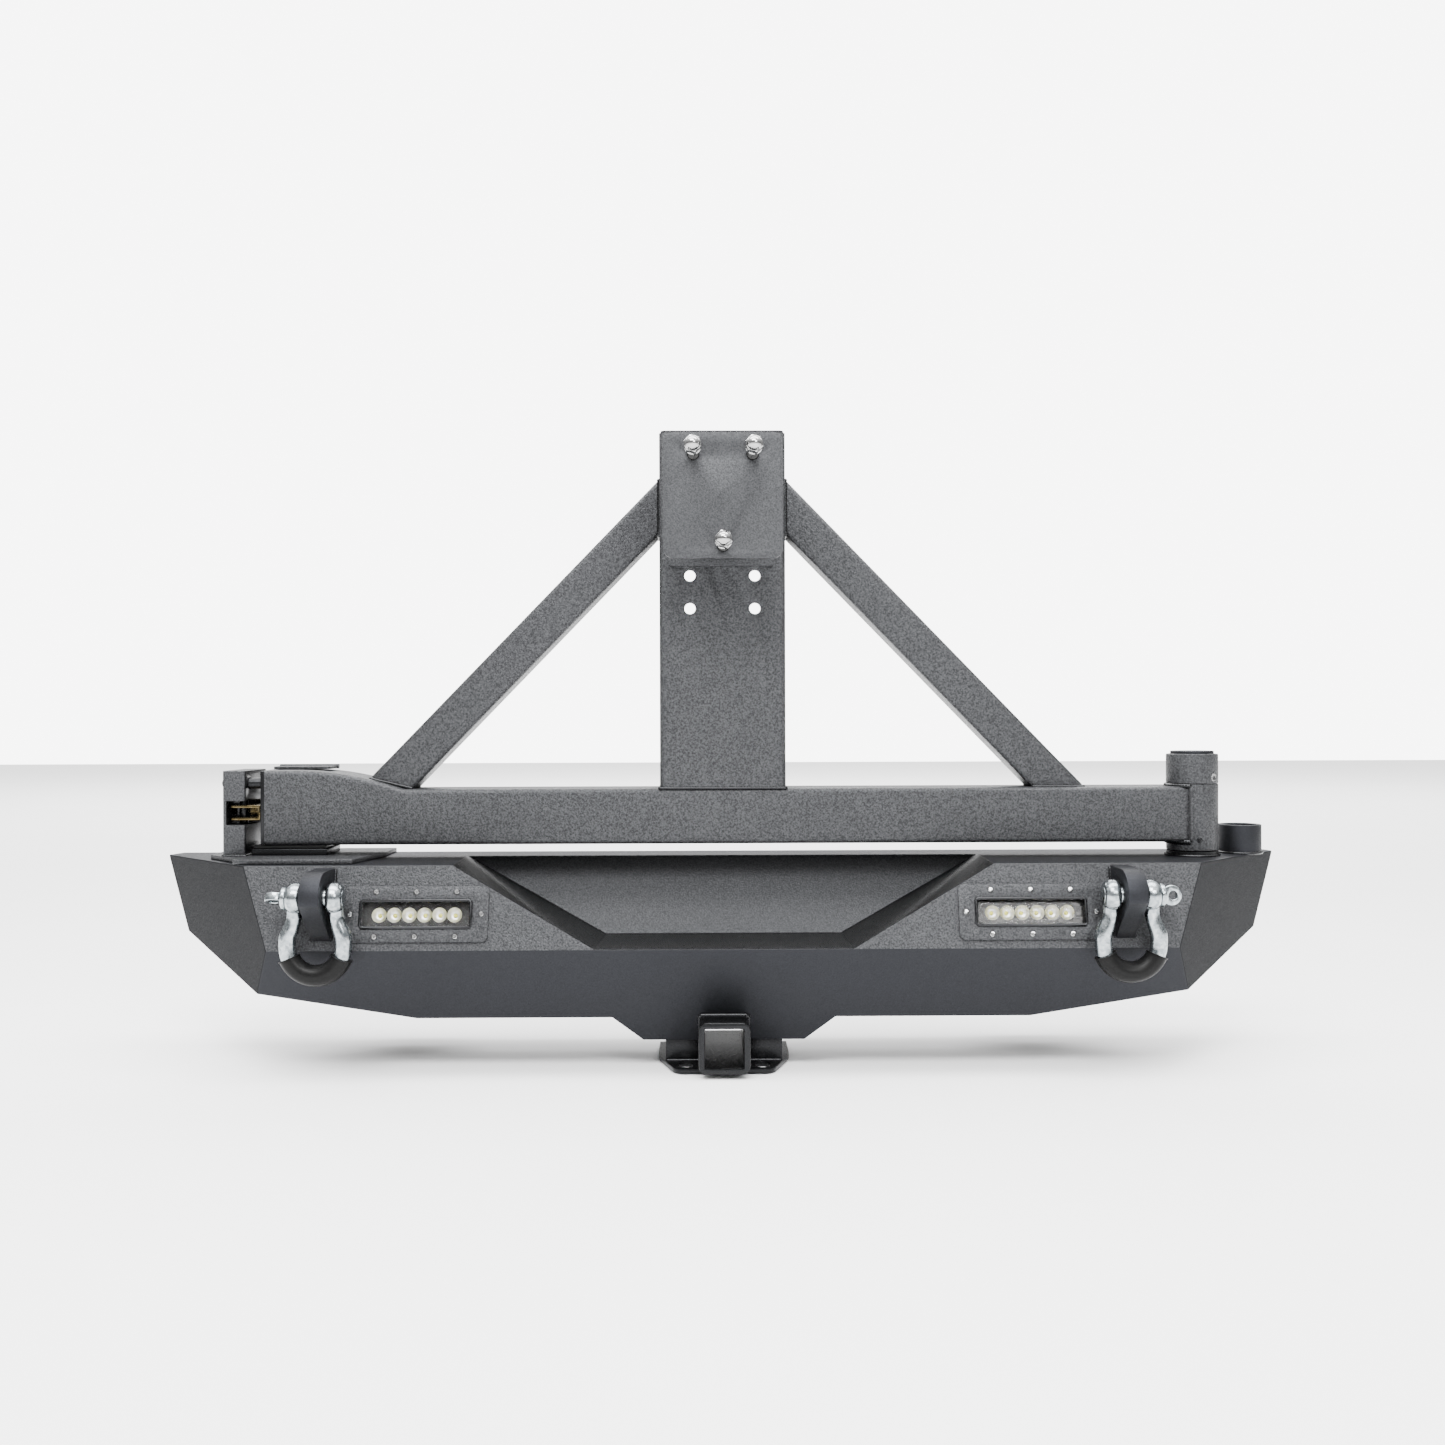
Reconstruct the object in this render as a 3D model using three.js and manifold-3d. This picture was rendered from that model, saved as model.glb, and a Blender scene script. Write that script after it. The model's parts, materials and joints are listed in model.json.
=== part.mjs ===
// Steel rear bumper with a swing-out spare tire carrier, in millimetres.
// X runs to the right, Y forward to the vehicle and Z up. The visible face looks along -Y.
// Everything is drawn from the middle of the face's fold, and the last lines move the origin
// to the point midway between the two frame plates, in the plane that bolts to the vehicle.
import * as THREE from 'three';
import { mergeVertices } from 'three/addons/utils/BufferGeometryUtils.js';
import { ConvexGeometry } from 'three/addons/geometries/ConvexGeometry.js';
import Module from 'manifold-3d';

const wasm = await Module();
wasm.setup();

// Driving dimensions -------------------------------------------------------------------------
const GAP = 0.3; // between two pieces that touch
const PLATE = 5; // shell plate, about 3/16 in
const REACH = 4000; // longer than anything here, for trimming tools

const FACE_TOP_Z = 106; // top of the shell above the fold
const UPPER_LEAN = 15.1 * Math.PI / 180; // upper band leans back
const LOWER_LEAN = 24 * Math.PI / 180; // lower band leans back under the bumper
const BEND_TOP_X = 621; // where the face bends into the wing, at its top
const BEND_FOLD_X = 583; // and at the fold
const WING_TIP_X = 779.5;
const WING_TIP_Y = 194;
const WING_LOW_Y = 165.3; // lower outer corner of the wing
const WING_LOW_Z = 2.2;
const BEND_LOW_Z = -59.7; // lower end of the bend
const LOWER_EDGE_X = 400.5; // where the lower edge runs level
const LOWER_EDGE_Z = -95.4;
const DROP_OUTER_X = 146; // the lower edge drops around the receiver
const DROP_INNER_X = 106;
const DROP_Z = -128;
const TOP_BACK_Y = 225; // back edge of the top plate
const TOP_TIP_X = 770;

const RECESS_TOP_X = 351.3;
const RECESS_FOLD_X = 165.5;
const RECESS_BACK_TOP = [354.4, 158, FACE_TOP_Z];
const RECESS_BACK_LOW = [157, 87, 7.7];

const RECEIVER_OUTER = 63.5;
const RECEIVER_INNER = 50.8;
const RECEIVER_Z = -124.2;
const RECEIVER_FRONT_Y = -13.5;
const RECEIVER_BACK_Y = 214;

const BEAM_X = 560; // half length of the crossmember
const BEAM_FRONT_Y = 165;
const BEAM_BACK_Y = 225;
const BEAM_LOW_Z = RECEIVER_Z + RECEIVER_OUTER / 2 + GAP;
const BEAM_TOP_Z = 9;
const BEAM_WALL = 6;
const FRAME_PLATE = { x: 430, z: -40, width: 130, height: 150, thick: 10 };
const FRAME_PLATE_BACK_Y = BEAM_BACK_Y + GAP + FRAME_PLATE.thick;

const LIGHT_IN_X = 324.3;
const LIGHT_OUT_X = 464.9;
const LIGHT_LOW = 29; // along the slope of the upper band, from the fold
const LIGHT_HIGH = 63.5;
const BEZEL_MARGIN_X = 22.5;
const BEZEL_MARGIN_S = 18.5;
const BEZEL_THICK = 3;
const HOUSING_MARGIN = 5;
const HOUSING_DEPTH = 46;
const REFLECTOR_DEPTH = 14;
const LENS_THICK = 3;

const SHACKLE_X = 513.5; // middle of the shackle tab
const TAB_THICK = 25;
const PIN_Y = -22.6;
const PIN_Z = 70.2;
const PIN_RADIUS = 11.1;
const BOW_WIRE = 9.5; // radius of the shackle's bar
const BOW_EAR = 16; // half the clear width between the ears
const BOW_RADIUS = 35; // centre line of the bow
const BOW_DROP = 62; // pin centre to the bow's centre

const ARM_FRONT_Y = 100.4;
const ARM_DEPTH = 76.2;
const ARM_LOW_Z = 126;
const ARM_TOP_Z = 201;
const ARM_WALL = 6;
const ARM_LEFT_X = -616;
const ARM_END_TOP_Z = 227; // the latch end of the arm is taller
const END_PLATE_THICK = 5.5;

const POST_X = 85; // half width of the upright
const POST_TOP_Z = 680;
const POST_WALL = 6;
const HOLE_X = 43.7;
const HOLE_PITCH = 44.1;
const HOLE_LOW_Z = 443;
const HOLE_ROWS = 6;
const HOLE_RADIUS = 7.6;

const BRACE = 52; // square tube
const BRACE_WALL = 5;
const BRACE_FOOT_X = 492; // outer edge at the arm's top
const BRACE_HEAD_Z = 620; // outer edge at the upright's side

const BASE_PLATE = { x: 71.5, low: 499.8, high: 649, thick: 5 };
const STUD_PLATE = { x: 75, low: 495.6, high: 653.3, front: -30.8, thick: 6 };
const STANDOFF = 76.2;
const STANDOFF_Z = 560;
const CIRCLE_RADIUS = 63.5; // three of the five studs of a 5 x 127 mm wheel
const CIRCLE_Z = 574.8;
const STUD_RADIUS = 7;
const STUD_LENGTH = 62;
const NUT_FLATS = 20.6;

const PIVOT_X = 644.2;
const PIVOT_Y = 132.3;
const SLEEVE_RADIUS = 34.3;
const SLEEVE_LOW_Z = 113.6;
const SLEEVE_TOP_Z = 204;
const COLLAR_TOP_Z = 244.9;
const SPINDLE_RADIUS = 19;
const BEARING_RADIUS = 30;
const BEARING_HEIGHT = 18;

const LATCH_X = [-670, -640];
const LATCH_Y = [95, 187];
const LATCH_TOP_Z = 226.5;
const WINDOW_Z = [153.7, 186];
const STRIKER = { x: -652, y: 128, r: 6 };
const HOOK_PIVOT = { x: -633, y: 148 };
const LOCK_PIN = { y: 118, z: 209, r: 7.5 };
const LATCH_BASE_TOP_Z = FACE_TOP_Z + GAP + 6;

const SOCKET = { x: 722, y: 165.7, r: 29, bore: 22.5, top: 145.5 };

// Geometry helpers ---------------------------------------------------------------------------
// A boolean's result keeps its own merge list, so only fresh geometry has its vertices merged.
const toSolid = (geometry) => {
  const { mergeLists } = geometry.userData;
  const bare = geometry.clone();
  bare.deleteAttribute('normal');
  bare.deleteAttribute('uv');
  const merged = mergeLists ? bare : mergeVertices(bare, 1e-3);
  const vertProperties = new Float32Array(merged.attributes.position.array);
  const triVerts = new Uint32Array(merged.index.array);
  return new wasm.Manifold(new wasm.Mesh({ numProp: 3, vertProperties, triVerts, ...mergeLists }));
};

const toGeometry = (solid) => {
  const mesh = solid.getMesh();
  const geometry = new THREE.BufferGeometry();
  geometry.setAttribute('position', new THREE.BufferAttribute(mesh.vertProperties, 3));
  geometry.setIndex(new THREE.BufferAttribute(mesh.triVerts, 1));
  geometry.computeVertexNormals();
  geometry.userData.mergeLists = {
    mergeFromVert: mesh.mergeFromVert, mergeToVert: mesh.mergeToVert,
  };
  return geometry;
};

const cut = (geometry, ...tools) => toGeometry(
  tools.reduce((solid, tool) => solid.subtract(toSolid(tool)), toSolid(geometry)));

const join = (geometry, ...others) => toGeometry(
  others.reduce((solid, other) => solid.add(toSolid(other)), toSolid(geometry)));

const box = (x0, x1, y0, y1, z0, z1) => new THREE.BoxGeometry(x1 - x0, y1 - y0, z1 - z0)
  .translate((x0 + x1) / 2, (y0 + y1) / 2, (z0 + z1) / 2);

// A round bar between two points.
const rod = (radius, from, to, sides = 24, endRadius = radius) => {
  const start = new THREE.Vector3(...from);
  const end = new THREE.Vector3(...to);
  const axis = end.clone().sub(start);
  const turn = new THREE.Quaternion().setFromUnitVectors(
    new THREE.Vector3(0, 1, 0), axis.clone().normalize());
  const middle = start.add(end).multiplyScalar(0.5);
  return new THREE.CylinderGeometry(endRadius, radius, axis.length(), sides)
    .applyQuaternion(turn).translate(middle.x, middle.y, middle.z);
};

// A solid of revolution about a vertical axis: profile points are [radius, z].
const turned = (profile, x, y, sides = 32) => new THREE.LatheGeometry(
  profile.map(([r, z]) => new THREE.Vector2(r, z)), sides)
  .rotateX(Math.PI / 2).translate(x, y, 0);

const shapeOf = (points, holes = []) => {
  const shape = new THREE.Shape(points.map(([a, b]) => new THREE.Vector2(a, b)));
  holes.forEach((hole) => shape.holes.push(hole));
  return shape;
};

const extrude = (shape, depth, curveSegments = 6) => new THREE.ExtrudeGeometry(
  shape, { depth, bevelEnabled: false, curveSegments });

// A rectangle with round corners, centred on the origin.
const roundRectangle = (width, height, radius) => {
  const w = width / 2 - radius;
  const h = height / 2 - radius;
  const shape = new THREE.Shape();
  shape.absarc(w, h, radius, 0, Math.PI / 2);
  shape.absarc(-w, h, radius, Math.PI / 2, Math.PI);
  shape.absarc(-w, -h, radius, Math.PI, Math.PI * 1.5);
  shape.absarc(w, -h, radius, Math.PI * 1.5, Math.PI * 2);
  shape.closePath();
  return shape;
};

const circleHole = (x, y, radius) => {
  const hole = new THREE.Path();
  hole.absarc(x, y, radius, 0, Math.PI * 2);
  return hole;
};

// A square or rectangular tube along +Z, open at both ends.
const tube = (width, height, wall, length, radius = 8) => {
  const shape = roundRectangle(width, height, radius);
  shape.holes.push(roundRectangle(width - 2 * wall, height - 2 * wall, Math.max(radius - wall, 1)));
  return extrude(shape, length, 4);
};

// Standing plates: outlines in X and Z are extruded along +Y, outlines in Y and Z along +X.
const alongY = (shape, y0, y1) => extrude(shape, y1 - y0)
  .rotateX(Math.PI / 2).translate(0, y1, 0);
const alongX = (shape, x0, x1) => extrude(shape, x1 - x0)
  .applyMatrix4(new THREE.Matrix4().set(0, 0, 1, x0, 1, 0, 0, 0, 0, 1, 0, 0, 0, 0, 0, 1));

// Removes what lies beyond a plane, on the side that the normal points to.
const trim = (geometry, point, normal) => {
  const turn = new THREE.Quaternion().setFromUnitVectors(
    new THREE.Vector3(0, 0, 1), normal.clone().normalize());
  const tool = new THREE.BoxGeometry(REACH, REACH, REACH).translate(0, 0, REACH / 2)
    .applyQuaternion(turn).translate(point.x, point.y, point.z);
  return cut(geometry, tool);
};

// A flat plate with its outer face on the outline and its thickness behind it.
const panel = (outline, normal, thickness = PLATE, holes = []) => {
  const origin = outline[0];
  const u = outline[1].clone().sub(origin).normalize();
  const v = normal.clone().cross(u);
  const flat = (p) => {
    const d = p.clone().sub(origin);
    return new THREE.Vector2(d.dot(u), d.dot(v));
  };
  const contour = outline.map(flat);
  if (THREE.ShapeUtils.isClockWise(contour)) contour.reverse();
  const shape = new THREE.Shape(contour);
  holes.forEach((hole) => shape.holes.push(new THREE.Path(hole.map(flat))));
  const place = new THREE.Matrix4().makeBasis(u, v, normal).setPosition(origin);
  return extrude(shape, thickness).translate(0, 0, -thickness).applyMatrix4(place);
};

// Trims a plate on the mitre plane that it shares with its neighbour along a bend.
const mitre = (geometry, edgePoint, ownNormal, otherNormal) => {
  const away = otherNormal.clone().sub(ownNormal).normalize();
  const point = edgePoint.clone().addScaledVector(away, -GAP / 2);
  return trim(geometry, point, away);
};

// Shell planes -------------------------------------------------------------------------------
const vec = (x, y, z) => new THREE.Vector3(x, y, z);
const upperY = (z) => z * Math.tan(UPPER_LEAN);
const lowerY = (z) => -z * Math.tan(LOWER_LEAN);
const UPPER_NORMAL = vec(0, -Math.cos(UPPER_LEAN), Math.sin(UPPER_LEAN));
const LOWER_NORMAL = vec(0, -Math.cos(LOWER_LEAN), -Math.sin(LOWER_LEAN));
const TOP_NORMAL = vec(0, 0, 1);
const FOLD = vec(0, 0, 0);
const FACE_TOP_Y = upperY(FACE_TOP_Z);

const wingPlane = (side) => {
  const top = vec(side * BEND_TOP_X, FACE_TOP_Y, FACE_TOP_Z);
  const fold = vec(side * BEND_FOLD_X, 0, 0);
  const tip = vec(side * WING_TIP_X, WING_TIP_Y, FACE_TOP_Z);
  const normal = fold.clone().sub(top).cross(tip.clone().sub(top)).normalize();
  if (normal.y > 0) normal.negate();
  // The x at which the wing's plane passes a given y and z.
  const xAt = (y, z) => top.x - ((y - top.y) * normal.y + (z - top.z) * normal.z) / normal.x;
  return { top, fold, tip, normal, xAt };
};

const upperFace = (side) => {
  const wing = wingPlane(side);
  const at = (x, s) => vec(side * x, s * Math.sin(UPPER_LEAN), s * Math.cos(UPPER_LEAN));
  const hole = [
    at(LIGHT_IN_X - HOUSING_MARGIN, LIGHT_LOW - HOUSING_MARGIN),
    at(LIGHT_OUT_X + HOUSING_MARGIN, LIGHT_LOW - HOUSING_MARGIN),
    at(LIGHT_OUT_X + HOUSING_MARGIN, LIGHT_HIGH + HOUSING_MARGIN),
    at(LIGHT_IN_X - HOUSING_MARGIN, LIGHT_HIGH + HOUSING_MARGIN),
  ];
  const outline = [
    vec(side * RECESS_FOLD_X, 0, 0), wing.fold, wing.top,
    vec(side * RECESS_TOP_X, FACE_TOP_Y, FACE_TOP_Z),
  ];
  let plate = panel(outline, UPPER_NORMAL, PLATE, [hole]);
  plate = mitre(plate, FOLD, UPPER_NORMAL, LOWER_NORMAL);
  plate = mitre(plate, wing.fold, UPPER_NORMAL, wing.normal);
  return mitre(plate, wing.top, UPPER_NORMAL, TOP_NORMAL);
};

const lowerFace = () => {
  const right = wingPlane(1);
  const left = wingPlane(-1);
  const lowEnd = (wing) => vec(wing.xAt(lowerY(BEND_LOW_Z), BEND_LOW_Z), lowerY(BEND_LOW_Z), BEND_LOW_Z);
  const edge = (x, z) => vec(x, lowerY(z), z);
  const outline = [
    left.fold, lowEnd(left), edge(-LOWER_EDGE_X, LOWER_EDGE_Z), edge(-DROP_OUTER_X, LOWER_EDGE_Z),
    edge(-DROP_INNER_X, DROP_Z), edge(DROP_INNER_X, DROP_Z), edge(DROP_OUTER_X, LOWER_EDGE_Z),
    edge(LOWER_EDGE_X, LOWER_EDGE_Z), lowEnd(right), right.fold,
  ];
  let plate = panel(outline, LOWER_NORMAL);
  plate = mitre(plate, FOLD, LOWER_NORMAL, UPPER_NORMAL);
  plate = mitre(plate, left.fold, LOWER_NORMAL, left.normal);
  plate = mitre(plate, right.fold, LOWER_NORMAL, right.normal);
  const half = RECEIVER_OUTER / 2 + GAP;
  return cut(plate, box(-half, half, 0, 120, RECEIVER_Z - 60, RECEIVER_Z + half));
};

const wingFace = (side) => {
  const wing = wingPlane(side);
  const lowEnd = vec(wing.xAt(lowerY(BEND_LOW_Z), BEND_LOW_Z), lowerY(BEND_LOW_Z), BEND_LOW_Z);
  const lowTip = vec(wing.xAt(WING_LOW_Y, WING_LOW_Z), WING_LOW_Y, WING_LOW_Z);
  let plate = panel([wing.top, wing.fold, lowEnd, lowTip, wing.tip], wing.normal);
  plate = mitre(plate, wing.fold, wing.normal, UPPER_NORMAL);
  plate = mitre(plate, wing.fold, wing.normal, LOWER_NORMAL);
  return mitre(plate, wing.top, wing.normal, TOP_NORMAL);
};

const topPlate = () => {
  const outline = [
    [RECESS_TOP_X, FACE_TOP_Y], [BEND_TOP_X, FACE_TOP_Y], [WING_TIP_X, WING_TIP_Y],
    [TOP_TIP_X, TOP_BACK_Y],
  ];
  const [backX, backY] = RECESS_BACK_TOP;
  const right = outline.map(([x, y]) => vec(x, y, FACE_TOP_Z));
  const left = outline.map(([x, y]) => vec(-x, y, FACE_TOP_Z)).reverse();
  const notch = [vec(-backX, backY, FACE_TOP_Z), vec(backX, backY, FACE_TOP_Z)];
  let plate = panel([...right, ...left, ...notch], TOP_NORMAL);
  plate = mitre(plate, wingPlane(1).top, TOP_NORMAL, UPPER_NORMAL);
  [-1, 1].forEach((side) => {
    const wing = wingPlane(side);
    plate = mitre(plate, wing.top, TOP_NORMAL, wing.normal);
  });
  return plate;
};

// The pan behind the open middle of the face: sloping back, floor and two slanted sides.
const recessTub = () => {
  const corners = (grow) => [-1, 1].flatMap((side) => [
    vec(side * (RECESS_FOLD_X + 1.5 * grow), 0, -5 * grow),
    vec(side * (RECESS_TOP_X + 10 * grow), FACE_TOP_Y, FACE_TOP_Z),
    vec(side * (RECESS_BACK_TOP[0] + 10 * grow), RECESS_BACK_TOP[1] + 6 * grow, FACE_TOP_Z),
    vec(side * (RECESS_BACK_LOW[0] + 3.5 * grow), RECESS_BACK_LOW[1] + 4 * grow,
      RECESS_BACK_LOW[2] - 5 * grow),
  ]);
  let tub = cut(new ConvexGeometry(corners(1)), new ConvexGeometry(corners(0)));
  const behind = (normal) => normal.clone().multiplyScalar(-(PLATE + GAP));
  tub = trim(tub, behind(UPPER_NORMAL), UPPER_NORMAL);
  tub = trim(tub, behind(LOWER_NORMAL), LOWER_NORMAL);
  return trim(tub, vec(0, 0, FACE_TOP_Z - PLATE - GAP), TOP_NORMAL);
};

// Structure behind the shell -----------------------------------------------------------------
const crossmember = () => tube(BEAM_BACK_Y - BEAM_FRONT_Y, BEAM_TOP_Z - BEAM_LOW_Z, BEAM_WALL, 2 * BEAM_X)
  .applyMatrix4(new THREE.Matrix4().set(
    0, 0, 1, -BEAM_X,
    1, 0, 0, (BEAM_FRONT_Y + BEAM_BACK_Y) / 2,
    0, 1, 0, (BEAM_LOW_Z + BEAM_TOP_Z) / 2,
    0, 0, 0, 1));

const framePlate = (side) => {
  const { x, z, width, height, thick } = FRAME_PLATE;
  const shape = roundRectangle(width, height, 12);
  [-42, 42].forEach((hx) => [-52, 52].forEach((hz) => shape.holes.push(circleHole(hx, hz, 7))));
  return extrude(shape, thick, 6).rotateX(Math.PI / 2).translate(side * x, FRAME_PLATE_BACK_Y, z);
};

const receiverTube = () => {
  const wall = (RECEIVER_OUTER - RECEIVER_INNER) / 2;
  const body = tube(RECEIVER_OUTER, RECEIVER_OUTER, wall, RECEIVER_BACK_Y - RECEIVER_FRONT_Y, 7)
    .rotateX(Math.PI / 2).translate(0, RECEIVER_BACK_Y, RECEIVER_Z);
  return cut(body, rod(8, [-60, 42, RECEIVER_Z], [60, 42, RECEIVER_Z], 16));
};

const chainPlate = () => {
  const shape = new THREE.Shape();
  shape.moveTo(-88, 174);
  shape.lineTo(-88, 112);
  shape.quadraticCurveTo(-88, 92, -82, 74);
  shape.lineTo(-68, 30);
  shape.quadraticCurveTo(-64, 14, -50, 14);
  shape.lineTo(50, 14);
  shape.quadraticCurveTo(64, 14, 68, 30);
  shape.lineTo(82, 74);
  shape.quadraticCurveTo(88, 92, 88, 112);
  shape.lineTo(88, 174);
  shape.closePath();
  [-1, 1].forEach((side) => {
    const slot = new THREE.Path();
    slot.absarc(side * 50, 46, 10, 0, Math.PI);
    slot.absarc(side * 50, 36, 10, Math.PI, Math.PI * 2);
    slot.closePath();
    shape.holes.push(slot);
  });
  return extrude(shape, 6, 5).translate(0, 0, RECEIVER_Z - RECEIVER_OUTER / 2 - GAP - 6);
};

// Shackles -----------------------------------------------------------------------------------
const shackleTab = (side) => {
  const clear = GAP / Math.cos(UPPER_LEAN);
  const radius = 33;
  const shape = new THREE.Shape();
  shape.moveTo(upperY(12) - clear, 12);
  shape.lineTo(upperY(103) - clear, 103);
  shape.absarc(PIN_Y, PIN_Z, radius, Math.PI * 0.5, Math.PI * 1.06);
  shape.closePath();
  shape.holes.push(circleHole(PIN_Y, PIN_Z, PIN_RADIUS + 0.8));
  const middle = side * SHACKLE_X;
  return alongX(shape, middle - TAB_THICK / 2, middle + TAB_THICK / 2);
};

// The bow's centre line, from one ear down around the bow and up to the other ear.
const bowCurve = (side) => {
  const ear = BOW_EAR + BOW_WIRE;
  const points = [vec(-ear, 0, -8), vec(-ear, 0, -22)];
  for (let step = 0; step <= 12; step += 1) {
    const angle = Math.PI * (1.08 + (step / 12) * 0.84);
    points.push(vec(BOW_RADIUS * Math.cos(angle), 0, -BOW_DROP + BOW_RADIUS * Math.sin(angle)));
  }
  points.push(vec(ear, 0, -22), vec(ear, 0, -8));
  return new THREE.CatmullRomCurve3(points.map((p) => p.add(vec(side * SHACKLE_X, PIN_Y, PIN_Z))));
};

const shackleBow = (side) => {
  const section = new THREE.Shape();
  section.absarc(0, 0, BOW_WIRE, 0, Math.PI * 2);
  const bar = new THREE.ExtrudeGeometry(section, {
    steps: 30, curveSegments: 5, bevelEnabled: false, extrudePath: bowCurve(side),
  });
  const middle = side * SHACKLE_X;
  const ears = [-1, 1].map((way) => rod(
    19, [middle + way * BOW_EAR, PIN_Y, PIN_Z], [middle + way * (BOW_EAR + 2 * BOW_WIRE), PIN_Y, PIN_Z], 24));
  const hole = rod(PIN_RADIUS + GAP, [middle - 60, PIN_Y, PIN_Z], [middle + 60, PIN_Y, PIN_Z], 24);
  return cut(join(bar, ...ears), hole);
};

const shacklePin = (side) => {
  const middle = side * SHACKLE_X;
  const outer = BOW_EAR + 2 * BOW_WIRE;
  const at = (x) => [middle + side * x, PIN_Y, PIN_Z];
  const shank = rod(PIN_RADIUS, at(-outer - 1), at(outer + 5), 20);
  const collar = rod(15, at(outer + GAP), at(outer + 6), 20);
  const eye = rod(13, [middle + side * (outer + 15), PIN_Y - 5, PIN_Z],
    [middle + side * (outer + 15), PIN_Y + 5, PIN_Z], 20);
  const eyeHole = rod(5.5, [middle + side * (outer + 17), PIN_Y - 9, PIN_Z],
    [middle + side * (outer + 17), PIN_Y + 9, PIN_Z], 16);
  return cut(join(shank, collar, eye), eyeHole);
};

// A rubber sleeve, split in a C section, around the bottom of the bow.
const shackleIsolator = (side) => {
  const section = new THREE.Shape();
  section.absarc(0, 0, BOW_WIRE + 4, 0, Math.PI * 2);
  const bore = new THREE.Path();
  bore.absarc(0, 0, BOW_WIRE + GAP + 0.3, 0, Math.PI * 2);
  section.holes.push(bore);
  const points = [];
  for (let step = 0; step <= 10; step += 1) {
    const angle = Math.PI * (1.13 + (step / 10) * 0.74);
    points.push(vec(side * SHACKLE_X + BOW_RADIUS * Math.cos(angle), PIN_Y,
      PIN_Z - BOW_DROP + BOW_RADIUS * Math.sin(angle)));
  }
  return new THREE.ExtrudeGeometry(section, {
    steps: 16, curveSegments: 6, bevelEnabled: false, extrudePath: new THREE.CatmullRomCurve3(points),
  });
};

// Work lights in the upper band --------------------------------------------------------------
const lightFrame = (side) => {
  const middleX = side * (LIGHT_IN_X + LIGHT_OUT_X) / 2;
  const middleS = (LIGHT_LOW + LIGHT_HIGH) / 2;
  // Local X is the light's width, local Y runs up the slope and local Z points out of the face.
  const up = vec(0, Math.sin(UPPER_LEAN), Math.cos(UPPER_LEAN));
  return new THREE.Matrix4().makeBasis(vec(1, 0, 0), up, UPPER_NORMAL)
    .setPosition(up.clone().multiplyScalar(middleS).add(vec(middleX, 0, 0)));
};
const LIGHT_WIDTH = LIGHT_OUT_X - LIGHT_IN_X;
const LIGHT_HEIGHT = LIGHT_HIGH - LIGHT_LOW;

const lightBezel = (side) => {
  const shape = roundRectangle(LIGHT_WIDTH + 2 * BEZEL_MARGIN_X, LIGHT_HEIGHT + 2 * BEZEL_MARGIN_S, 8);
  shape.holes.push(roundRectangle(LIGHT_WIDTH, LIGHT_HEIGHT, 3));
  return extrude(shape, BEZEL_THICK, 4).translate(0, 0, GAP).applyMatrix4(lightFrame(side));
};

const lightHousing = (side) => {
  const width = LIGHT_WIDTH + 2 * HOUSING_MARGIN - 2 * GAP;
  const height = LIGHT_HEIGHT + 2 * HOUSING_MARGIN - 2 * GAP;
  const body = extrude(roundRectangle(width, height, 2), HOUSING_DEPTH, 3).translate(0, 0, -HOUSING_DEPTH);
  const cavity = extrude(roundRectangle(LIGHT_WIDTH, LIGHT_HEIGHT, 3), 24, 4).translate(0, 0, -20);
  const fins = [];
  for (let fin = 0; fin < 9; fin += 1) {
    const x = (fin - 4) * 16;
    fins.push(box(x - 4.5, x + 4.5, -height, height, -HOUSING_DEPTH - 1, -HOUSING_DEPTH + 16));
  }
  return cut(body, cavity, ...fins).applyMatrix4(lightFrame(side));
};

const lightLens = (side) => extrude(
  roundRectangle(LIGHT_WIDTH - 1, LIGHT_HEIGHT - 1, 3), LENS_THICK, 4)
  .translate(0, 0, -20 + REFLECTOR_DEPTH + 3 * GAP).applyMatrix4(lightFrame(side));

// Pivot --------------------------------------------------------------------------------------
const spindle = () => turned([
  [0, FACE_TOP_Z + GAP], [SLEEVE_RADIUS, FACE_TOP_Z + GAP], [SLEEVE_RADIUS, SLEEVE_LOW_Z - 1],
  [SPINDLE_RADIUS + 5, SLEEVE_LOW_Z - 1], [SPINDLE_RADIUS + 5, SLEEVE_LOW_Z + 1],
  [SPINDLE_RADIUS, SLEEVE_LOW_Z + 1], [SPINDLE_RADIUS, 205], [13, 206], [13, 232], [0, 232],
], PIVOT_X, PIVOT_Y);

const sleeve = () => turned([
  [BEARING_RADIUS + GAP, SLEEVE_LOW_Z], [SLEEVE_RADIUS, SLEEVE_LOW_Z], [SLEEVE_RADIUS, SLEEVE_TOP_Z],
  [BEARING_RADIUS + GAP, SLEEVE_TOP_Z], [BEARING_RADIUS + GAP, SLEEVE_TOP_Z - BEARING_HEIGHT - 2],
  [25, SLEEVE_TOP_Z - BEARING_HEIGHT - 2], [25, SLEEVE_LOW_Z + BEARING_HEIGHT + 2],
  [BEARING_RADIUS + GAP, SLEEVE_LOW_Z + BEARING_HEIGHT + 2], [BEARING_RADIUS + GAP, SLEEVE_LOW_Z],
], PIVOT_X, PIVOT_Y, 40);

const bearing = (z) => turned([
  [SPINDLE_RADIUS + 0.1, z], [BEARING_RADIUS, z], [BEARING_RADIUS, z + BEARING_HEIGHT - 2],
  [25, z + BEARING_HEIGHT], [SPINDLE_RADIUS + 0.1, z + BEARING_HEIGHT], [SPINDLE_RADIUS + 0.1, z],
], PIVOT_X, PIVOT_Y);

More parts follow.
